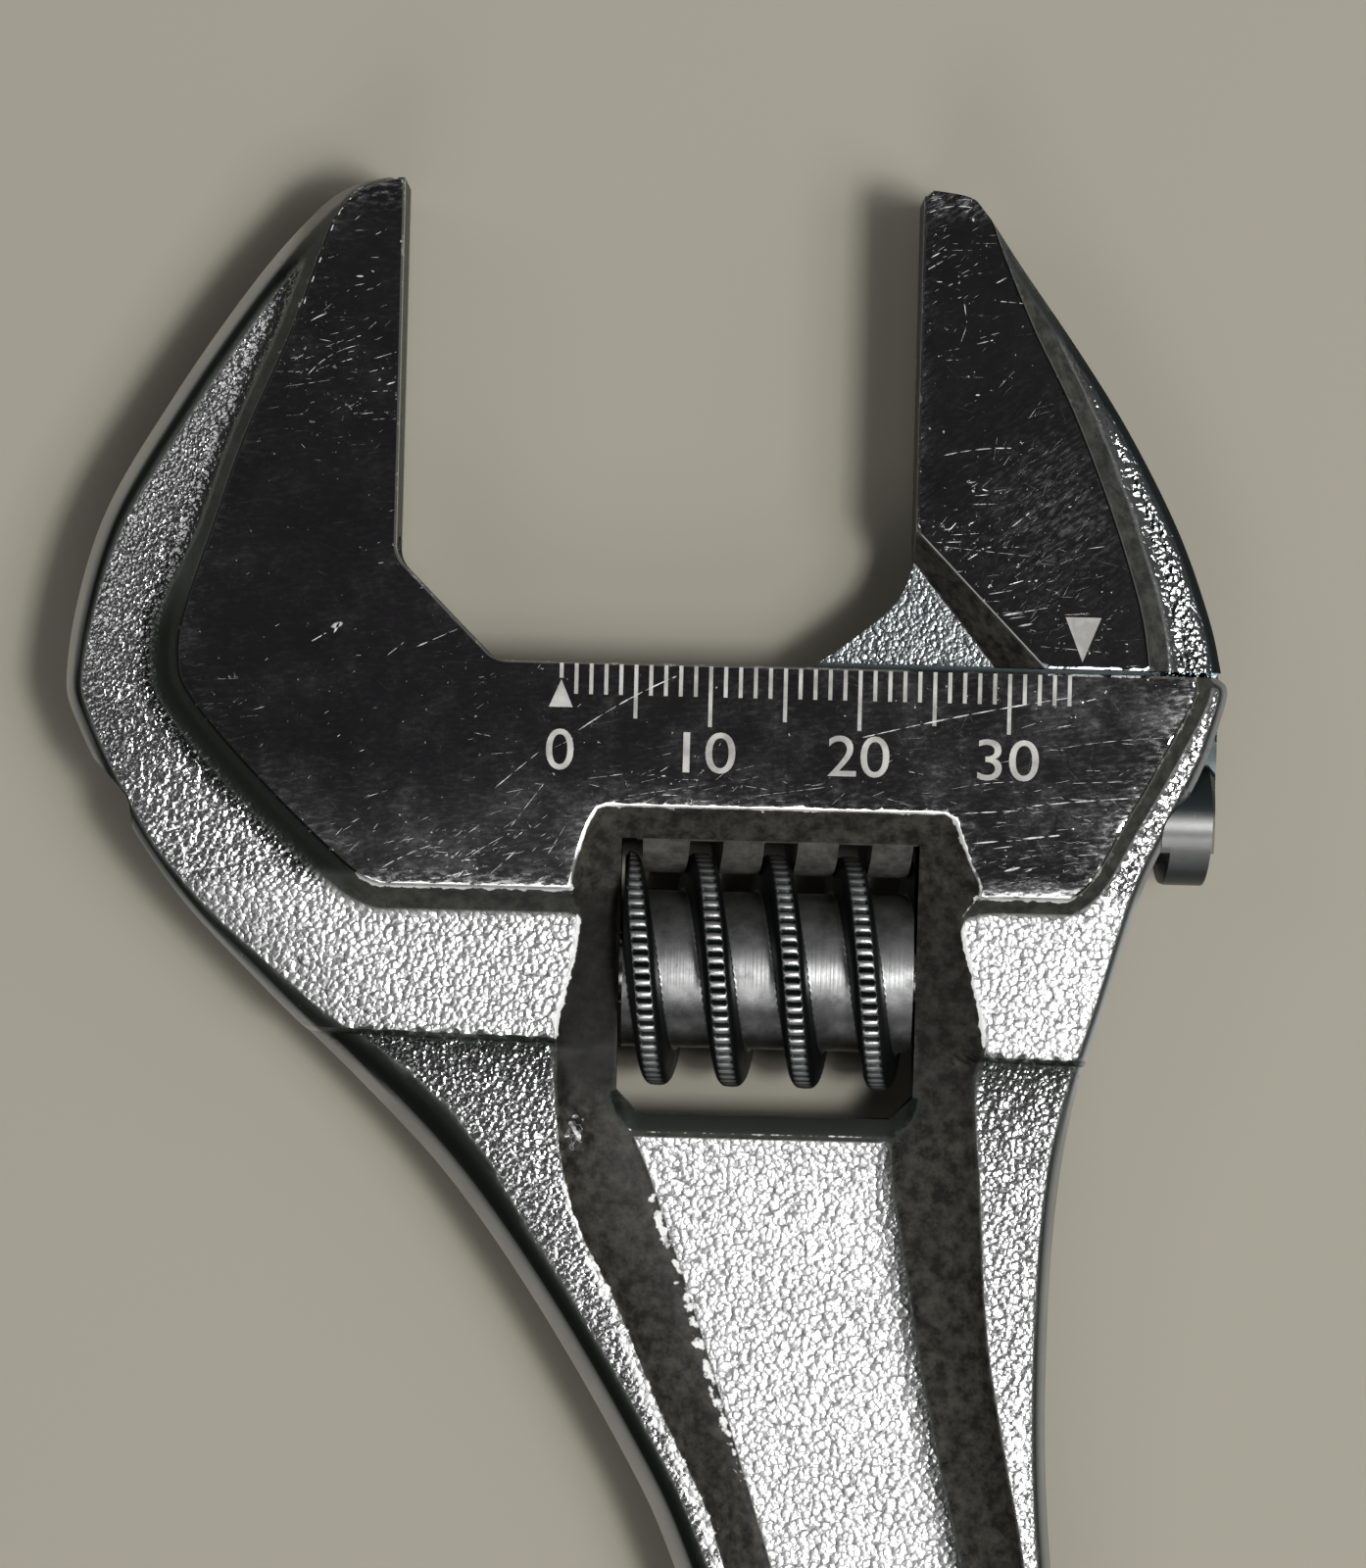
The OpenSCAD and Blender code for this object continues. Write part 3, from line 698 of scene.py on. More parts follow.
def blend_colour(share, a, b):
    """Mix node for colours; a and b are sockets or (r, g, b)."""
    node = add(share.id_data, "ShaderNodeMix", data_type="RGBA")
    for i, source in ((0, share), (6, a), (7, b)):
        connect((*source, 1) if isinstance(source, tuple) else source, node.inputs[i])
    return node.outputs[2]


def metal(name, **values):
    """Metal material, its Object coordinates and its shader, with constants set on it."""
    material = bpy.data.materials.new(name)
    material.use_nodes = True
    shader = material.node_tree.nodes["Principled BSDF"]
    for key, value in {"Metallic": 1.0, **values}.items():
        shader.inputs[key.replace("_", " ")].default_value = value
    place = add(material.node_tree, "ShaderNodeTexCoord").outputs["Object"]
    return material, place, shader.inputs


def wear(piece, material):
    """Give a piece or a CAD node its only material."""
    piece.data.materials.clear()
    piece.data.materials.append(material)


# Orange peel of a forged and plated skin: crowded low domes with sharp valleys between
# them, a third of a millimetre wide, pushed out of line and mixed with a finer ripple
peel, (peel_scale,), peel_out = group("orange_peel", {"Scale": 2600.0}, "Height")
peel_place = add(peel, "ShaderNodeTexCoord").outputs["Object"]
push = add(peel, "ShaderNodeTexNoise", Vector=peel_place, Scale=peel_scale, Detail=1.0)
push = add(peel, "ShaderNodeVectorMath", operation="SCALE", Vector=push.outputs["Color"],
           Scale=0.0003)
pushed = add(peel, "ShaderNodeVectorMath", operation="ADD", Vector=peel_place)
connect(push.outputs[0], pushed.inputs[1])
domes = add(peel, "ShaderNodeTexVoronoi", Vector=pushed.outputs[0], Scale=peel_scale)
dome = times(domes.outputs["Distance"], domes.outputs["Distance"])
ripple = add(peel, "ShaderNodeTexNoise", Vector=peel_place, Scale=times(peel_scale, 0.55),
             Detail=2.0, Distortion=0.5)
connect(maths("SUBTRACT", times(ripple.outputs["Fac"], 0.9), dome), peel_out)

# Straight scratches that all run one way. The surface is cut into bands across that way
# and each band into lengths; each length holds one scratch, or none, at its own place
scratch, (turn, band, length, width, share, seed), scratch_out = group("scratches", {
    "Angle": 0.0, "Band": 0.6, "Length": 5.0, "Width": 0.05, "Share": 0.4, "Seed": 0.0},
    "Mask")
turned_place = add(scratch, "ShaderNodeVectorRotate", rotation_type="Z_AXIS", Angle=turn,
                   Vector=add(scratch, "ShaderNodeTexCoord").outputs["Object"])
split = add(scratch, "ShaderNodeSeparateXYZ", Vector=turned_place.outputs[0])
along = maths("DIVIDE", times(split.outputs["X"], 1000), length)
across = maths("DIVIDE", times(split.outputs["Y"], 1000), band)
row = maths("FLOOR", across)
row_pick = add(scratch, "ShaderNodeTexWhiteNoise", noise_dimensions="1D",
               W=plus(row, times(seed, 71.3)))
along = plus(along, times(row_pick.outputs[0], 37.0))
cell = add(scratch, "ShaderNodeCombineXYZ", X=maths("FLOOR", along), Y=row, Z=seed)
pick = add(scratch, "ShaderNodeTexWhiteNoise", Vector=cell.outputs[0])
pick = add(scratch, "ShaderNodeSeparateXYZ", Vector=pick.outputs["Color"])
u, v = maths("FRACT", along), maths("FRACT", across)
middle = plus(0.3, times(pick.outputs["X"], 0.4))
slant = times(maths("SUBTRACT", pick.outputs["Z"], 0.5), times(maths("SUBTRACT", u, 0.5), 0.5))
off = times(maths("ABSOLUTE", maths("SUBTRACT", v, plus(middle, slant))), band)
taper = times(u, maths("SUBTRACT", 1.0, u), 4.0)
line = maths("SUBTRACT", 1.0, maths("DIVIDE", off, times(width, 0.5, taper)), True)
connect(times(line, maths("LESS_THAN", pick.outputs["Y"], share)), scratch_out)


def placed(tree, kit, **values):
    """One of the shared node groups put into a material, with its own values."""
    return add(tree, "ShaderNodeGroup", node_tree=kit, **values).outputs[0]


# Hair scratches: angle, band, length, width, share, and how bright. The first are
# everywhere, and the others only in rubbed patches
HAIRS = [(-0.15, 1.1, 3.0, 0.05, 0.12, 0.22), (0.35, 1.5, 2.4, 0.05, 0.08, 0.2),
         (-1.25, 1.9, 2.0, 0.05, 0.07, 0.2), (-2.2, 1.2, 1.6, 0.05, 0.07, 0.2)]
RUBBED_HAIRS = [(-0.2, 0.7, 1.1, 0.08, 0.05), (-0.05, 0.5, 1.9, 0.05, 0.08),
                (-0.7, 0.6, 0.8, 0.07, 0.04)]
# The first colour is for scratches, chipped edges and painted glints, the second for painted
# shade on the pocket's walls
SCORED_AND_GLINT = (0.95, 0.95, 0.94)           # colour of scratches and chipped edges
WALL_SHADE_COLOUR = (0.004, 0.004, 0.0035)         # colour of the darkest corners


def forged_finish(name, tint, wall, shade, lean, cloudy):
    """Plated forging: mirror faces, orange-peel rim, dark walls, and dull fillets darkened by
    painted shade.

    The masks say where the skin is rough, polished, worn or glinting, hazy, in painted
    shade or a bare side; the rest is wall. Where it is calm it glints less sharply,
    where it is fine its lumps are smaller, and painted shade darkens the pocket's walls.
    Scratches, chipped edges and painted glints are brighter and rougher than the mirror
    round them. lean is the way that the mirror's fine grain runs, and cloudy is how far
    clouds and grain on it raise the roughness.
    """
    material, place, surface = metal(name, Specular_IOR_Level=0.15)
    tree = material.node_tree
    rough, polish, wear_and_glint, hazy, painted_shade, side, painted_wall_shade, calm, fine = (
        add(tree, "ShaderNodeAttribute", attribute_name=key).outputs["Fac"] for key in (
            "rough", "polish", "wear_and_glint", "haze", "painted_shade", "side", "painted_wall_shade", "calm", "fine"))
    bare = most(spread(rough, 0.4, 0.8), polish, side)

    # Hair scratches and nicks in the mirror, and chips along the worn edges with painted
    # glints among them
    patch = most(hazy, spread(noise(place, 90.0), 0.5, 0.66))
    hair = most(*[times(placed(tree, scratch, Angle=a, Band=b, Length=n, Width=w, Share=q,
                               Seed=a), k) for a, b, n, w, q, k in
                  HAIRS + [(*row, patch) for row in RUBBED_HAIRS]])
    hair = times(hair, spread(noise(place, 2600.0), 0.4, 0.55))
    nick = spread(plus(noise(place, 2300.0, 3.0, 0.7), times(patch, 0.06)), 0.69, 0.75)
    hair = times(most(hair, times(nick, 0.5)), polish)
    chip_and_glint = spread(plus(times(wear_and_glint, 0.6), noise(place, 1300.0, 4.0)), 0.78, 0.87)
    bright = most(hair, chip_and_glint)

    # Colour: mottled wall, painted shade on the pocket's walls, plating with faint stains,
    # painted shade on fillets and edges, bright scratches, chips and painted glints
    colour = blend_colour(spread(noise(place, 900.0, 5.0, 0.7), 0.4, 0.65), wall,
                          tuple(4.0 * c for c in wall))
    colour = blend_colour(painted_wall_shade, colour, WALL_SHADE_COLOUR)
    colour = blend_colour(bare, colour, tint)
    stain = spread(noise(place, 150.0, 6.0), 0.38, 0.72)
    colour = blend_colour(times(stain, bare, 0.35), colour, tuple(0.5 * c for c in tint))
    colour = blend_colour(painted_shade, colour, shade)
    connect(blend_colour(bright, colour, SCORED_AND_GLINT), surface["Base Color"])
    connect(most(bare, spread(painted_shade, 0.75, 1.0), bright), surface["Metallic"])

    # Roughness: clouds, haze and fine grain on the mirror, and the rest by the masks
    flat = add(tree, "ShaderNodeMapping", vector_type="TEXTURE", Vector=place,
               Rotation=(0, 0, lean), Scale=(2.9, 1, 1))
    grain = noise(flat.outputs[0], 3600.0, 4.0, 0.7)
    smear = plus(spread(noise(place, 260.0, 8.0, 0.8), 0.45, 0.8, 0.0, cloudy),
                 times(hazy, spread(grain, 0.44, 0.62, 0.0, 0.26)),
                 spread(grain, 0.46, 0.75, 0.0, 0.5 * cloudy))
    gloss = plus(times(polish, -0.39), 0.45, times(rough, -0.29), times(calm, 0.24),
                 times(painted_shade, -0.12), times(smear, polish))
    connect(maths("ADD", gloss, times(bright, 0.3), True), surface["Roughness"])

    # Bump: the orange peel where the skin is rough, finer and lower where it is fine
    coarse = placed(tree, peel, Scale=2300.0)
    finer = times(placed(tree, peel, Scale=3200.0), 0.62)
    lumps = plus(coarse, times(fine, maths("SUBTRACT", finer, coarse)))
    lumps = times(lumps, most(rough, spread(rough, 0.25, 0.6)))
    bump = add(tree, "ShaderNodeBump", Height=lumps, Strength=1.0, Distance=0.00009)
    connect(bump.outputs[0], surface["Normal"])
    return material


wear(body, forged_finish("plated_forging", (0.60, 0.605, 0.60), (0.016, 0.015, 0.0125),
                         (0.055, 0.062, 0.055), lean=0.12, cloudy=0.08))
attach(body, "handle")
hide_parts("body")


# ---------------------------------------------------------------- Scale on the body
# Whitish lines etched into the polished face along the track: a line each
# millimetre, longer at each five and ten, a zero arrow, and plain numbers.

FACE_Z = 2 * HALF
SCALE_X, SCALE_Y = 11.3, -0.1         # the zero line, and where the lines start
SCALE_LEN = 34                        # lines after the zero line, 1 apart
DIGIT_H, DIGIT_Y = 2.75, -7.25        # height of the numbers, and their foot
DIGIT_W = {0: 1.85, 10: 3.5, 20: 4.1, 30: 4.1}   # the numbers and their widths
INK, SUNK = 0.012, 0.03               # how far a mark stands proud, and reaches in


def marks(name, shapes, z):
    """Flat marks: each convex outline becomes a low prism on the face at z."""
    points, groups, n = [], [], 0
    for line in shapes:
        line = np.asarray(line, float)
        m = len(line)
        points += [np.column_stack([line, np.full(m, up)]) for up in (z - SUNK, z + INK)]
        groups += prism(m, n)
        n += 2 * m
    return make_piece(name, np.vstack(points), groups, 20)


def box(x0, x1, y0, y1):
    """Corners of a rectangle, anticlockwise."""
    return [[x0, y0], [x1, y0], [x1, y1], [x0, y1]]


def digits(text, height, width):
    """Triangles of a number in plan, its digits spread to a width, centred on x = 0."""
    curve = bpy.data.curves.new("digits", "FONT")
    curve.body = text
    curve.size = 1.0
    curve.resolution_u = 6
    letters = bpy.data.objects.new("digits", curve)
    bpy.context.scene.collection.objects.link(letters)
    mesh = letters.to_mesh()
    mesh.calc_loop_triangles()
    p = np.array([v.co[:2] for v in mesh.vertices])
    f = np.array([t.vertices[:] for t in mesh.loop_triangles])
    letters.to_mesh_clear()
    bpy.data.objects.remove(letters)
    bpy.data.curves.remove(curve)
    low, high = p.min(0), p.max(0)
    p = (p - [(low[0] + high[0]) / 2, low[1]]) * [width / (high[0] - low[0]),
                                                  height / (high[1] - low[1])]
    return p[anticlockwise(p, f)]


shapes = []
for k in range(SCALE_LEN + 1):
    x = SCALE_X + k
    # The zero line ends at its arrow; tens, fives and the rest reach down less and less
    low_y = -1.1 if k == 0 else -4.15 if k % 10 == 0 else -3.7 if k % 5 == 0 else -2.15
    shapes.append(box(x - 0.13, x + 0.13, low_y, SCALE_Y))
shapes.append([[SCALE_X - 0.8, -3.05], [SCALE_X + 0.8, -3.05], [SCALE_X, -1.2]])
for k, wide in DIGIT_W.items():
    shapes += [corner + [SCALE_X + k, DIGIT_Y] for corner in digits(str(k), DIGIT_H, wide)]
scale = marks("scale_lines", shapes, FACE_Z)


def patchy(name, roughness, scale, high, a, b):
    """Matt material of two colours in patches of noise, the second where it is high."""
    material, place, surface = metal(name, Metallic=0.0, Roughness=roughness)
    connect(blend_colour(spread(noise(place, *scale), 0.35, high), a, b),
            surface["Base Color"])
    return material


def etched_paint(name):
    """Matt grey-white filling of the etched lines, rubbed thin in patches."""
    return patchy(name, 0.55, (700.0, 4.0), 0.65, (0.62, 0.61, 0.57), (0.34, 0.33, 0.31))


wear(scale, etched_paint("etched_lines"))
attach(scale, "handle")


# ---------------------------------------------------------------- Scratches on the body
# Knocks and rubs of years of use: bright burred lines in the polished face, the long
# ones slightly bowed and broken, and many short fine ones where it rubs the most.

# Start and end in plan, how far the line bows out, and its width
BODY_KNOCKS = [
    (12.5, -4.6, 19, -0.8, 0.2, 0.11), (31.5, -4.6, 45.2, -1.6, 0.15, 0.12),
    (1.5, 0.7, 4.3, 2, 0, 0.1), (-0.4, 0.1, 0.7, 1, 0, 0.05),
    (-0.4, -14.1, 2.9, -12.5, 0.1, 0.09), (7, -8.6, 9.9, -6.1, 0, 0.07),
    (8.1, -11.2, 10.3, -8.2, 0, 0.07), (4.9, -13.6, 8.1, -11.6, 0.1, 0.06),
    (6.8, -14.4, 8.6, -12.7, 0, 0.08), (10.7, -12.9, 11.8, -11, 0, 0.06),
    (13.2, -7.8, 15.8, -7.4, 0, 0.05), (15.9, -8.9, 21.1, -8, 0, 0.04),
    (24.4, -8.7, 29.6, -7.9, 0, 0.05), (42.9, -8.9, 49.7, -8.2, 0.05, 0.14),
    (38.4, -9.5, 42.4, -9.2, 0, 0.1), (37.5, -7.9, 41.7, -7.3, 0.1, 0.05),
    (39, -11.5, 40.8, -11.3, 0, 0.17), (42.4, -11.1, 44.9, -10.8, 0, 0.14),
    (40.4, -11.8, 41.8, -11.6, 0, 0.09), (44, -5.1, 45, -5.1, 0, 0.1),
    (44.7, -5, 52.2, -4.1, 0.15, 0.045), (44.5, -3.6, 45.5, -3.4, 0, 0.08),
    (46.4, -1.8, 47.1, -1.6, 0, 0.1), (42.1, -3.7, 43.5, -3.2, 0, 0.05),
    (45.6, -7.3, 49.1, -7.1, 0, 0.04), (45.2, -12.2, 47.5, -12, 0, 0.07),
    (41.2, -13.3, 42.3, -13, 0, 0.2), (42.6, -13.3, 43.1, -13.1, 0, 0.12),
    (-6.1, 22.3, -4.9, 22.9, 0.05, 0.13), (-6.2, 18.7, -2.8, 20.8, 0.35, 0.07),
    (-1.8, 19.9, -0.3, 20.4, 0, 0.06), (-2.1, 19, -1.1, 19.3, 0, 0.09),
    (-0.9, 18.2, -0.3, 18.4, 0, 0.12), (-7.7, 17.9, -4.7, 18.4, 0, 0.035),
    (-6.5, 14.1, -6.2, 13.8, 0, 0.05), (-3.1, 25.4, -2.6, 25.4, 0, 0.24),
    (-2.1, 25.8, -1.9, 25.7, 0, 0.12), (-4.2, 1.9, -3.4, 2.2, 0, 0.4),
    (-4, 1.5, -3.6, 2.3, 0, 0.3), (-5.5, 0.9, -4.5, 1.5, 0, 0.08)]
BURR = 0.016                          # how far a burr stands proud


def burred(name, knocks, draw):
    """Scratches as low burrs: each is a chain of slim slivers along a bowed line.

    A sliver's half width goes by the square root of sin over its length, and the
    line bows out by 4t(1 - t) of its bow.
    """
    shapes = []
    for x0, y0, x1, y1, bow, wide in knocks:
        run = np.array([x1 - x0, y1 - y0])
        length = math.hypot(*run)
        square = np.array([-run[1], run[0]]) / length
        start = 0.0
        while start < 1:
            stop = min(1.0, start + draw.uniform(0.5, 2.2) * (0.5 + 4 * wide) / length)
            t = np.linspace(start, stop, 6)
            middle = [x0, y0] + t[:, None] * run + (bow * 4 * t * (1 - t))[:, None] * square
            half = wide / 2 * draw.uniform(0.5, 1) * np.sqrt(np.sin(np.linspace(0, np.pi, 6)))
            half = half * draw.uniform(0.7, 1.0, 6)
            low = middle - half[:, None] * square
            high = middle + half[:, None] * square
            shapes.append(np.vstack([low, high[4:0:-1]]))
            start = stop + draw.uniform(0.02, 0.3) / length
    return marks(name, shapes, FACE_Z + BURR - INK)


def rubs(draw, count, centre, scatter, lean, length, wide):
    """Short straight scratches scattered round a place, most of them leaning one way."""
    mid = draw.normal(centre, scatter, (count, 2))
    turn = draw.normal(lean, 0.25, count)
    reach = draw.uniform(*length, count)[:, None] / 2 * np.column_stack([
        np.cos(turn), np.sin(turn)])
    return np.column_stack([mid - reach, mid + reach, 0 * turn, draw.uniform(*wide, count)])


def within(knocks, *outlines):
    """The scratches whose two ends lie in the first outline and in none of the others."""
    good = inside(knocks[:, :2], outlines[0]) & inside(knocks[:, 2:4], outlines[0])
    for line in outlines[1:]:
        good &= ~inside(knocks[:, :2], line) & ~inside(knocks[:, 2:4], line)
    return knocks[good]


draw = np.random.default_rng(11)
rubbed = np.vstack([
    rubs(draw, 80, (44, -11), (4, 2.5), 0.1, (0.3, 1.6), (0.015, 0.05)),
    rubs(draw, 70, (5, -12.8), (5, 1.4), 0.6, (0.2, 1.1), (0.02, 0.06)),
    rubs(draw, 60, (24, -8.5), (9, 1.4), 0.12, (0.3, 1.8), (0.012, 0.04)),
    rubs(draw, 50, (-4, 22), (3, 5), 0.35, (0.15, 0.9), (0.012, 0.045)),
    rubs(draw, 60, (0, -3), (8, 8), 0.5, (0.1, 0.5), (0.015, 0.05))])
rubbed = within(rubbed, silhouette)
rubbed = within(rubbed, shifted(boss, -0.25, True), recess)
scratches = burred("body_scratches", [*BODY_KNOCKS, *rubbed.tolist()], draw)

# Torn plating along each scratch: pale and matt, and duller in places
wear(scratches, patchy("burred_plating", 0.45, (1800.0, 3.0), 0.6,
                       (0.16, 0.165, 0.165), (0.86, 0.86, 0.85)))
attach(scratches, "handle")


# ---------------------------------------------------------------- Movable jaw
# A second forging with the same finish: a head like the fixed jaw's, a thin neck that
# runs in the body's slot, and a round bar with rack teeth cut into its lower side.

JAW_X = OPEN                  # gripping face, at rest
NECK = 2.0                    # half the thickness of the neck and its gusset
UNDER = 0.35                  # gap between the head and the track
NECK_X, NECK_TOP = 55.5, 0.33   # where the neck ends, and its top just over the track
BEVEL_LOW, BEVEL_TOP = (5.6, GUSSET_H), (8.8, 9.35)   # how far each line of the bevel
                              # lies from the head's lower corner, along X and along Y
BAR_R, BAR_X = 4.25, (16.6, 55.4)   # the rack's round bar, and where it starts and ends
ROOT_Y = -11.8                # bottom of the rack's gaps
PITCH, MESH_X = 5.0, 20.9     # the rack's pitch and one of its gaps
GAP_W = 2.26                  # width of a gap
LEAD = math.atan(PITCH / (math.pi * 14.4))   # slope of the thread where it meets the rack

jaw_back = smooth_line([[20.75, UNDER], [19.85, 4.0], [17.65, 9.8], [14.2, 16.3],
                        [10.4, 22.1], [6.6, 27.3], [4.1, 30.7], [3, 31.7], [0.6, 32.1]])
jaw_face = smooth_line([[15.9, -2], [15.7, 1], [15, 4.8], [13, 10.9], [10.3, 17.5],
                        [7.6, 22.8], [5.4, 27.8], [4.5, 30.2], [3.4, 32.3]])
jaw_back, jaw_face, gusset_line = (
    line + [JAW_X, 0] for line in (jaw_back, jaw_face, gusset_edge))
bevel_low, bevel_top = (np.array([[JAW_X, up], [JAW_X + along, UNDER]])
                        for along, up in (BEVEL_LOW, BEVEL_TOP))
grip_line = np.array([[JAW_X, 31.7], [JAW_X, BEVEL_TOP[1]], [JAW_X, GUSSET_H]])
neck_line = np.array([[JAW_X - GUSSET_LEN, BAR_Y], [NECK_X, BAR_Y], [NECK_X, NECK_TOP]])
jaw_plan = np.vstack([
    divided(neck_line), divided(jaw_back), divided(grip_line)[:-1],
    divided(gusset_line[::-1])[:-1],
    divided([[JAW_X - GUSSET_LEN, 0], [JAW_X - GUSSET_LEN, BAR_Y]])[:-1]])
under_head = np.array([[JAW_X + BEVEL_LOW[0], UNDER], [JAW_X + 20.7, UNDER]])
under_neck = np.array([[JAW_X - 6.2, NECK_TOP], [NECK_X, NECK_TOP]])
gusset_foot = np.array([[JAW_X - 5.9, 0.45], [JAW_X + 5.2, 0.45]])
worn_low, worn_high = (np.array([[JAW_X + 9.2, UNDER + d], [JAW_X + 15.6, UNDER + d]])
                       for d in (0.12, 0.24))


def beside(p, line):
    """Distance from each point to a straight line, positive on its left."""
    a, b = line
    d = (b - a) / np.hypot(*(b - a))
    return d[0] * (p[:, 1] - a[1]) - d[1] * (p[:, 0] - a[0])


def jaw_forging(p):
    """Half thickness of the movable jaw over the plan, and its masks, as on the body.

    e and g are the distances to its back and to its gripping face, and b is the one to
    the polished face, negative on it. Between the two lines across its lower corner the
    head is cut down to the neck on a slope: the height goes by the share of the way
    from one line to the other, low/(low + top).
    """
    e = gap_to(p, jaw_back, False)
    g = gap_to(p, grip_line[:2], False)
    x = np.interp(p[:, 1], jaw_face[:, 1], jaw_face[:, 0])
    b = (p[:, 0] - x) * 0.92          # square to the face's edge, which slants
    h = RIM - 0.3 * (1 - np.clip(np.maximum(e, 1.3) / 5, 0, 1))**2
    h = h - side_drop(e, 1.15, 1.1, 1.1)
    fall = np.clip(b / FILLET_W, 0, 1)
    h = h + (HALF - h) * (1 - fall)**2
    h = np.minimum(h, HALF - 0.15 + np.clip(g, 0, 0.15))
    low, top = beside(p, bevel_low), -beside(p, bevel_top)
    bevel = np.clip(low / np.maximum(low + top, 1e-6), 0, 1)
    bevel = np.where(low < 0, 0, np.where(top < 0, 1, bevel))
    h = np.where(bevel < 1, NECK + np.minimum(h - NECK, (HALF - NECK) * bevel), h)
    neck = (p[:, 1] < 0.34) | (low < 0)
    h = np.where(neck, NECK, h)
    gusset = neck * ease(p[:, 1], 0.34, 0.44)
    groove = np.clip(1 - np.abs(b) / 0.12, 0, 1)
    skin = 0.2 * ease(b, 0.15, 0.5) + 0.8 * ease(b, 1.1, 1.6)
    rough = ease(e, 0.3, 0.8) * skin * (bevel > 0.99)
    h = h + 0.03 * uneven(p) * rough
    rough = highest(rough, gusset * 0.42)
    polish = ease(-b, -0.12, -0.01) * ease(-top, -0.02, 0.05) * ~neck
    haze = highest((top < 0) * 0.3 * np.exp(-g / 0.5), 0.4 * ease(p[:, 1], 29.3, 31.3),
                   0.2 * np.exp(-((p[:, 0] - JAW_X - 9)**2 + (p[:, 1] - 11)**2) / 30))
    # Painted shade on the fillet, the rim, the turn of the back edge, and the neck and gusset
    # in the gap under the head
    painted_shade = 0.25 * ease(b, -0.12, 0) * (1 - ease(b, 0.9, 2.2)**2)
    painted_shade = highest(np.maximum(painted_shade, groove) * (bevel > 0.99), 0.5 * rough,
                  ease(-e, -1.05, -0.5) * ease(b, 0, 0.3))
    painted_shade = np.where(neck, 1 - 0.25 * gusset, painted_shade)
    # Worn edges with painted highlights: the gripping edge, and a line along the head's lower
    # edge over the track
    lower = ease(-p[:, 1], -UNDER - 0.24, -UNDER - 0.12) * (b < 0) * (top < 0)
    wear_and_glint = highest(0.4 * ridge(g, 0, 0.2), 0.6 * lower) * ~neck
    return h, {"rough": rough, "polish": polish, "wear_and_glint": wear_and_glint, "haze": haze * polish,
               "painted_shade": painted_shade, "side": gusset, "fine": gusset, "calm": 0 * e, "painted_wall_shade": 0 * e}


def rack_bar(name):
    """Round bar with gaps cut across its lower side, as a grid of rings.

    A ring at u is a circle whose points go no lower than a limit there: the gap's
    floor within it, and rounded corners of the teeth beside it. Rings lean with the
    worm's lead: x = u + tan(lead) times the height over the middle.
    """
    edge = GAP_W / 2
    near = np.array([-0.5, -0.25, -0.1, -0.03, 0, 0.02, 0.1, 0.3])
    centres = MESH_X + PITCH * np.arange(7)
    u = np.concatenate([[c - edge + near, c + edge - near] for c in centres], axis=None)
    u = np.sort(np.concatenate([u, centres, centres - PITCH / 2, [BAR_X[1] - 2]]))
    off = np.abs((u - MESH_X + PITCH / 2) % PITCH - PITCH / 2) - edge
    corner = 0.25
    q = np.clip(corner - off, 0, corner)
    limit = np.where(off > -0.01, BAR_Y - BAR_R + corner - np.sqrt(corner**2 - q * q),
                     ROOT_Y)
    low_end = np.array([[0, 0.5, 1], [0.25, 0.15, 1], [0.4, 0, 1], [0.42, 0, 0]])
    high_end = np.array([[0.67, 0, 0], [0.65, 0, 1], [0.25, 0.15, 1], [0, 0.5, 1]])
    shrink = np.concatenate([low_end[:, 1], 0 * u, high_end[:, 1]])
    limit = np.concatenate([np.where(low_end[:, 2] > 0, ROOT_Y, -99), limit,
                            np.where(high_end[:, 2] > 0, ROOT_Y, -99)])
    lean = np.concatenate([0 * low_end[:, 0], 1 + 0 * u, high_end[:, 0] > 0.5])
    u = np.concatenate([BAR_X[0] + low_end[:, 0], u, BAR_X[1] - high_end[:, 0]])
    a = 2 * np.pi * np.arange(SIDES) / SIDES
    r = (BAR_R - shrink)[:, None]
    y = np.maximum(BAR_Y - r * np.cos(a), limit[:, None])
    z = r * np.sin(a) + 0 * y
    x = u[:, None] + math.tan(LEAD) * z * lean[:, None]
    points = np.stack([x, y, HALF + z], 2).reshape(-1, 3)
    ring = np.arange(SIDES)[None, :]
    return make_piece(name, points, [hoops(len(u), SIDES)[:, [0, 3, 2, 1]], ring,
                                     ring[:, ::-1] + (len(u) - 1) * SIDES])


rows = rows_along(divided(jaw_back), [
    -0.35, -0.6, -0.85, -1.05, -1.3, -1.6, -2.0, -2.5], False)
rows += rows_along(divided(grip_line[:2]), [-0.15, -0.45], False)
for line in (bevel_top, bevel_low):
    rows += rows_along(divided(line), [-0.12, 0.12, -0.4, 0.4], False)
rows += rows_along(divided(jaw_face), [
    -0.5, -0.25, -0.12, 0.12, 0.3, 0.6, 0.95, 1.35, 1.8, 2.2], False)
creases = [(divided(line), False) for line in (
    jaw_face[(jaw_face[:, 1] > 0.4) & (jaw_face[:, 1] < 32)], bevel_low, bevel_top,
    under_head, under_neck, gusset_foot, worn_low, worn_high)]
near = np.vstack(rows)
jaw = forged_solid("sliding_jaw", jaw_plan, [], creases, near[near[:, 1] > 0.6],
                   ((26, -11), (58, 34)), jaw_forging)
cut_away(jaw, [rack_bar("rack_bar")], union=True)
co = coordinates(jaw)
h, masks = jaw_forging(co[:, :2])
face = ease(np.abs(co[:, 2] - HALF) - h, -0.3, -0.02) * (co[:, 1] > -4)
masks = {key: mask * face for key, mask in masks.items()}
bar, bar_end = co[:, 1] < -4, (co[:, 1] < -4) * (co[:, 0] > 43)
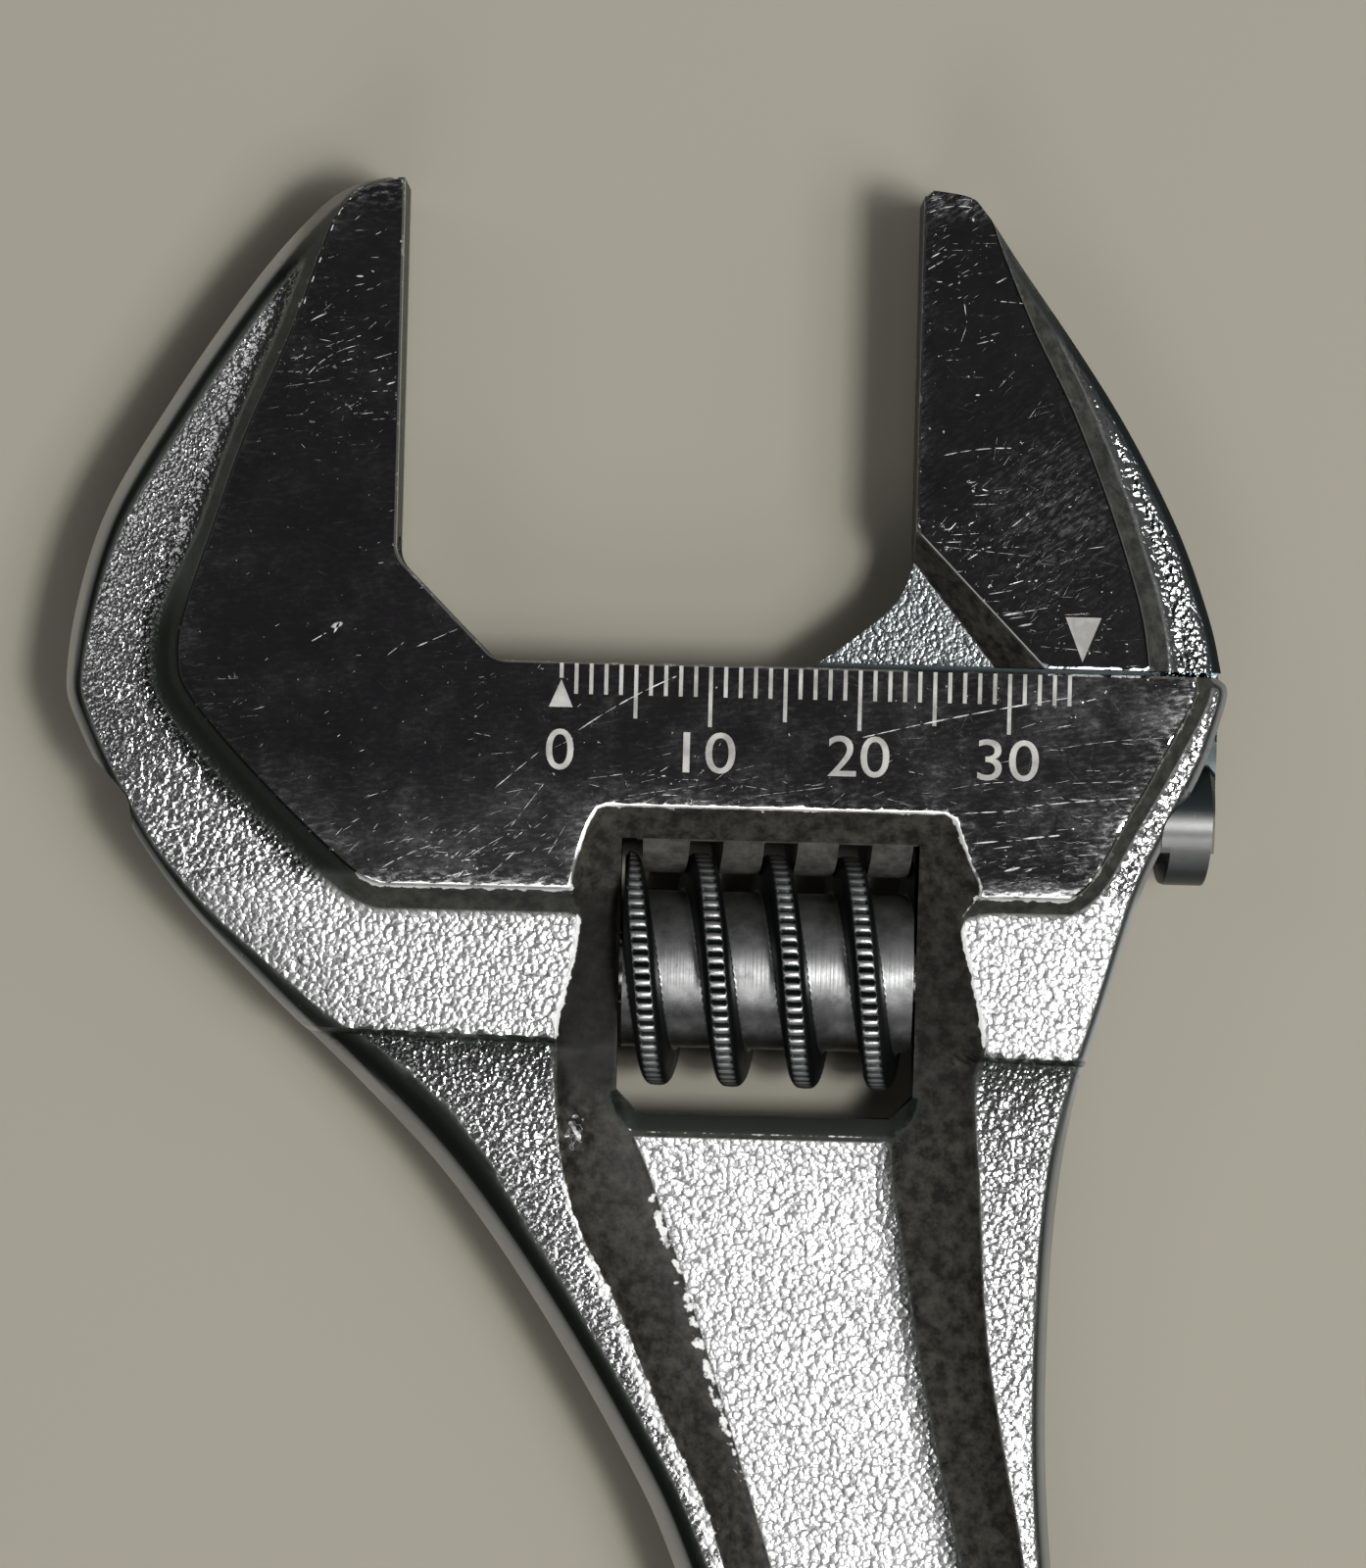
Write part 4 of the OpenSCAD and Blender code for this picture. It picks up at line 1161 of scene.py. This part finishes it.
masks["side"] = np.maximum(masks["side"], 0.06 * bar)
# A painted highlight band along the end of the bar, and painted shade over the rest of that
# end
painted_highlight_band = 1 - ease(co[:, 1], BAR_Y + 0.2, BAR_Y + 0.9) - ease(-co[:, 1], 11.4, 13.4)
masks["polish"] = np.maximum(masks["polish"], 0.6 * bar_end * painted_highlight_band)
masks["painted_shade"] = np.maximum(masks["painted_shade"], 0.97 * bar_end * (1 - painted_highlight_band))
paint(jaw, **masks)
wear(jaw, forged_finish("plated_jaw", (0.5, 0.505, 0.5), (0.022, 0.021, 0.0175),
                        (0.05, 0.062, 0.066), lean=0.6, cloudy=0.03))
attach(jaw, "jaw")
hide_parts("movable_jaw")

# The jaw's own scratches, as on the body
JAW_KNOCKS = [
    (36.5, 14.4, 41, 15, 0.15, 0.08), (36.6, 8.3, 42.5, 7.8, 0, 0.035),
    (46.2, 8.4, 47.5, 8.6, 0, 0.05), (39.7, 5.2, 41.3, 5.5, 0, 0.06),
    (40.7, 3.8, 42.2, 4.1, 0, 0.16), (41.7, 4, 43.7, 4.4, 0, 0.09),
    (41.1, 3.6, 42.4, 3.8, 0, 0.07), (41.7, 3.1, 42.7, 3.3, 0, 0.15),
    (43.2, 1.8, 47.7, 1.5, 0, 0.035), (42.1, 17, 42.9, 18.2, 0, 0.04),
    (35.1, 30.6, 38, 31, 0.25, 0.09), (35.2, 31.4, 35.9, 31.6, 0, 0.06),
    (39.7, 26, 40.4, 26.4, 0, 0.12), (40, 24.8, 41.5, 24.7, 0, 0.06),
    (37.6, 24.6, 37.8, 23.3, 0, 0.07), (37.8, 23.1, 37.4, 21.9, 0, 0.05),
    (38.5, 21.9, 39.6, 22.2, 0, 0.1), (38.7, 22.3, 40, 22.7, 0, 0.05),
    (38.1, 12.6, 38.7, 12.7, 0, 0.16), (39.1, 12.2, 39.5, 12.1, 0, 0.14),
    (38.5, 18.5, 38.8, 18.5, 0, 0.14), (35.1, 26.8, 36.1, 27.4, 0, 0.12),
    (35.3, 27.6, 36.3, 28.2, 0, 0.09), (41.1, 9.7, 42.3, 10.7, 0, 0.07),
    (35.7, 26, 36.1, 26, 0, 0.12)]
rubbed = np.vstack([
    rubs(draw, 120, (43.5, 12), (2.6, 4), 0.75, (0.4, 1.8), (0.006, 0.018)),
    rubs(draw, 30, (36.5, 27.5), (1.2, 2.5), 0.5, (0.15, 0.7), (0.012, 0.04)),
    rubs(draw, 40, (43, 4), (3, 2.5), 0.15, (0.3, 1.2), (0.01, 0.025))])
jaw_top = np.array([[JAW_X + 0.3, 9.5], [JAW_X + 8.9, UNDER + 0.3], [50.2, UNDER + 0.3],
                    [49.2, 6], [45, 17], [40.2, 27.5], [38, 31.5], [JAW_X + 0.3, 31.5]])
jaw_scratches = burred("jaw_scratches", [*JAW_KNOCKS, *within(rubbed, jaw_top).tolist()], draw)
wear(jaw_scratches, scratches.data.materials[0])
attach(jaw_scratches, "jaw")

POINTER_X = 46.1
pointer = marks("scale_pointer", [[[POINTER_X - 1.2, 3.8], [POINTER_X, 0.8],
                                   [POINTER_X + 1.2, 3.8]]], FACE_Z)
wear(pointer, etched_paint("etched_pointer"))
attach(pointer, "jaw")


# ---------------------------------------------------------------- Worm
# A turned and rolled steel screw with one right-handed thread, knurled on its crest
# for the thumb. It turns on the pin, and its thread moves the rack along.

WORM_X = (15.85, 35.35)
WORM_R = 7.9
BORE_R, CUP_R, CUP_LEN = 2.5, 3.52, 4.4   # its bore, and the counterbore for the spring
KNURLS = 60
# The thread's section: places along X from its middle, and the radius at each
thread_s = [-2.5, -1.15, -1.11, -1.08, -1.05, -1.02, -0.98, -0.92, -0.8, -0.62, -0.44, -0.15]
thread_r = [5.3, 5.3, 5.38, 5.6, 6.1, 6.6, 6.98, 7.28, 7.55, 7.76, 7.87, 7.9]


def worm_radius(x, a):
    """Radius of the worm at x and an angle from +Y towards +Z.

    The thread's section is read at the distance along X from the helix's centre, and
    notches of a rounded V shape are cut round its crest.
    """
    s = (x - MESH_X - PITCH * a / (2 * np.pi) + PITCH / 2) % PITCH - PITCH / 2
    r = np.interp(-np.abs(s), thread_s, thread_r)
    notch = np.abs(np.sin(KNURLS * a / 2))**6
    r = r - 0.3 * notch * ease(-np.abs(s), -0.56, -0.42)
    return np.minimum(r, WORM_R - 0.35 + np.minimum(x - WORM_X[0], WORM_X[1] - x))


rows_x = np.linspace(*WORM_X, 250)
worm_sides = KNURLS * 6
round_a = 2 * np.pi * np.arange(worm_sides) / worm_sides
outer = worm_radius(rows_x[:, None], round_a[None, :])
cup_x = WORM_X[0] + CUP_LEN
bore_x = [WORM_X[1], WORM_X[1] - 0.3, 25, cup_x, cup_x, WORM_X[0] + 0.25, WORM_X[0]]
bore_r = [BORE_R + 0.3, BORE_R, BORE_R, BORE_R, CUP_R, CUP_R, CUP_R + 0.25]
outer = np.vstack([outer, np.array(bore_r)[:, None] + 0 * round_a])
points = about_x(np.concatenate([rows_x, bore_x]), outer, worm_sides, WORM_Y)
worm = make_piece("knurled_worm", points, [hoops(*outer.shape, closed=True)], 50)


def turned_steel(name, tint, gloss, thread=None):
    """Turned steel: fine rings round the axis, and oil stains in soft patches.

    thread is a colour for all that stands beyond the worm's root; its crest is rubbed
    pale and smooth.
    """
    material, place, surface = metal(name)
    tree = material.node_tree
    grey = noise(place, 500.0, 6.0, 0.65)
    colour = blend_colour(spread(grey, 0.35, 0.65), tuple(0.4 * c for c in tint), tint)
    rough = spread(grey, 0.3, 0.7, gloss + 0.12, gloss)
    if thread:
        axis = add(tree, "ShaderNodeMapping", Vector=place, Scale=(0, 1, 1),
                   Location=(0, -WORM_Y * MM, -HALF * MM))
        far = add(tree, "ShaderNodeVectorMath", operation="LENGTH", Vector=axis.outputs[0])
        high = spread(far.outputs["Value"], 5.36 * MM, 5.6 * MM)
        crest = spread(far.outputs["Value"], 7.78 * MM, 7.88 * MM)
        colour = blend_colour(crest, blend_colour(high, colour, thread), (0.55, 0.55, 0.55))
        rough = plus(rough, times(high, 0.1), times(crest, -0.12))
    connect(colour, surface["Base Color"])
    connect(rough, surface["Roughness"])
    rings = add(tree, "ShaderNodeMapping", Vector=place, Scale=(1, 0.02, 0.02))
    bump = add(tree, "ShaderNodeBump", Height=noise(rings.outputs[0], 5000.0, 3.0),
               Strength=0.4, Distance=0.00003)
    connect(bump.outputs[0], surface["Normal"])
    return material


wear(worm, turned_steel("worm_steel", (0.44, 0.445, 0.44), 0.34, (0.03, 0.034, 0.034)))
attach(worm, "worm")
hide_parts("worm")


# ---------------------------------------------------------------- Worm's pin and spring
# A plated steel screw pin carries the worm across the window, and its slotted head
# shows at the side. A small coiled spring of wire round it holds the worm still.

PIN_R, PIN_HEAD_R, PIN_END = 2.42, 3.5, 47.3
profile = [(PIN_X, 0), (PIN_X, PIN_R - 0.3), (PIN_X + 0.3, PIN_R), (PIN_HEAD_X, PIN_R),
           (PIN_HEAD_X, PIN_HEAD_R), (PIN_END - 0.35, PIN_HEAD_R),
           (PIN_END - 0.1, PIN_HEAD_R - 0.12), (PIN_END, PIN_HEAD_R - 0.4), (PIN_END, 0)]


def turned(name, profile, y):
    """Solid of revolution about X: (x, radius) points carried round, poles closed."""
    x, r = np.array(profile[1:-1]).T
    n, sides = len(x), 72
    p = np.vstack([about_x(x, r[:, None], sides, y),
                   [[profile[0][0], y, HALF], [profile[-1][0], y, HALF]]])
    k = np.arange(sides)
    j = (k + 1) % sides
    last, pole = (n - 1) * sides, np.full(sides, n * sides)
    caps = [np.column_stack([j, k, pole]), np.column_stack([k + last, j + last, pole + 1])]
    return make_piece(name, p, [hoops(n, sides)] + caps, 40)


pin = turned("slotted_pin", profile, WORM_Y)
driver_slot = box(PIN_END - 1.2, PIN_END + 2, WORM_Y - 6, WORM_Y + 6)
cut_away(pin, [plate("driver_slot", np.array(driver_slot), 0.5)])
wear(pin, turned_steel("pin_steel", (0.62, 0.61, 0.59), 0.18))
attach(pin, "handle")
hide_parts("worm_pin")

wear(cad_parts["worm_spring"], turned_steel("spring_wire", (0.5, 0.49, 0.47), 0.25))


# ---------------------------------------------------------------- Floor, lamps, camera
floor_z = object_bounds()[0][2] / MM
corners = [[x, y, floor_z] for x, y in box(-3000, 3000, -3000, 3000)]
floor = make_piece("floor", np.array(corners), [np.array([[0, 1, 2, 3]])])
wear(floor, metal("pale_floor", Metallic=0.0, Roughness=0.85, Specular_IOR_Level=0.2,
                  Base_Color=(0.42, 0.395, 0.325, 1))[0])


AIM = (0.015, -0.02)          # the place on the head that the lamps face, in metres


def lamp(name, off, turn, away, size, level):
    """Square soft lamp that faces the head of the wrench.

    off is its angle from straight overhead and turn its bearing from +X, in degrees;
    level is the light it gives the floor, where 1 renders a colour as it is written.
    """
    light = bpy.data.lights.new(name, "AREA")
    light.size = size * MM
    light.energy = level * math.pi**2 * (away * MM)**2 / math.cos(math.radians(off))
    holder = bpy.data.objects.new(name, light)
    s, c = math.sin(math.radians(off)), math.cos(math.radians(off))
    t = math.radians(turn)
    holder.location = (away * s * math.cos(t) * MM + AIM[0],
                       away * s * math.sin(t) * MM + AIM[1], away * c * MM)
    holder.rotation_euler = (math.radians(off), 0, t + math.pi / 2)
    bpy.context.scene.collection.objects.link(holder)


lamp("main_lamp", 18, -12, 1100, 150, 0.38)
lamp("soft_lamp", 23, -12, 1150, 450, 0.30)
lamp("low_lamp", 36, -100, 1100, 420, 0.08)
lamp("left_lamp", 38, 150, 1100, 420, 0.04)

# Sky: dark overhead, bright round it, and dim low down; brighter on the main lamp's side
world = bpy.data.worlds.new("studio")
world.use_nodes = True
bpy.context.scene.world = world
tree = world.node_tree
way = add(tree, "ShaderNodeSeparateXYZ",
          Vector=add(tree, "ShaderNodeTexCoord").outputs["Generated"])
sky = add(tree, "ShaderNodeValToRGB", Fac=way.outputs["Z"])
ramp = sky.color_ramp
ramp.elements[0].color = (0.10, 0.10, 0.10, 1)
ramp.elements[1].color = (0.022, 0.020, 0.022, 1)
for at, level in ((0.3, 0.13), (0.6, 0.16), (0.86, 0.20), (0.94, 0.07), (0.965, 0.022)):
    ramp.elements.new(at).color = (level, level, level, 1)
side = times(spread(way.outputs["X"], -0.7, 0.7, 0.45, 1.35),
             spread(way.outputs["Y"], -0.85, -0.15, 0.3, 1.0))
glow = spread(way.outputs["Y"], -0.98, -0.998, 0.0, 8.0)
background = tree.nodes["Background"]
connect(sky.outputs[0], background.inputs["Color"])
connect(plus(glow, side), background.inputs["Strength"])

CAMERA_X, CAMERA_Y = 19.6, -8.0
CAMERA_UP = 500.0             # height of the camera above the polished faces
CAMERA_TURN = 1.45            # its turn about the vertical, in degrees
VIEW_H = 104.85               # height of the picture there
camera = bpy.data.cameras.new("camera")
camera.lens = 18 * CAMERA_UP / (VIEW_H / 2)
camera.clip_end = 10
holder = bpy.data.objects.new("camera", camera)
holder.location = (CAMERA_X * MM, CAMERA_Y * MM, (FACE_Z + CAMERA_UP) * MM)
holder.rotation_euler = (0, 0, math.radians(CAMERA_TURN))
bpy.context.scene.collection.objects.link(holder)
bpy.context.scene.camera = holder
bpy.context.scene.view_settings.view_transform = "Standard"
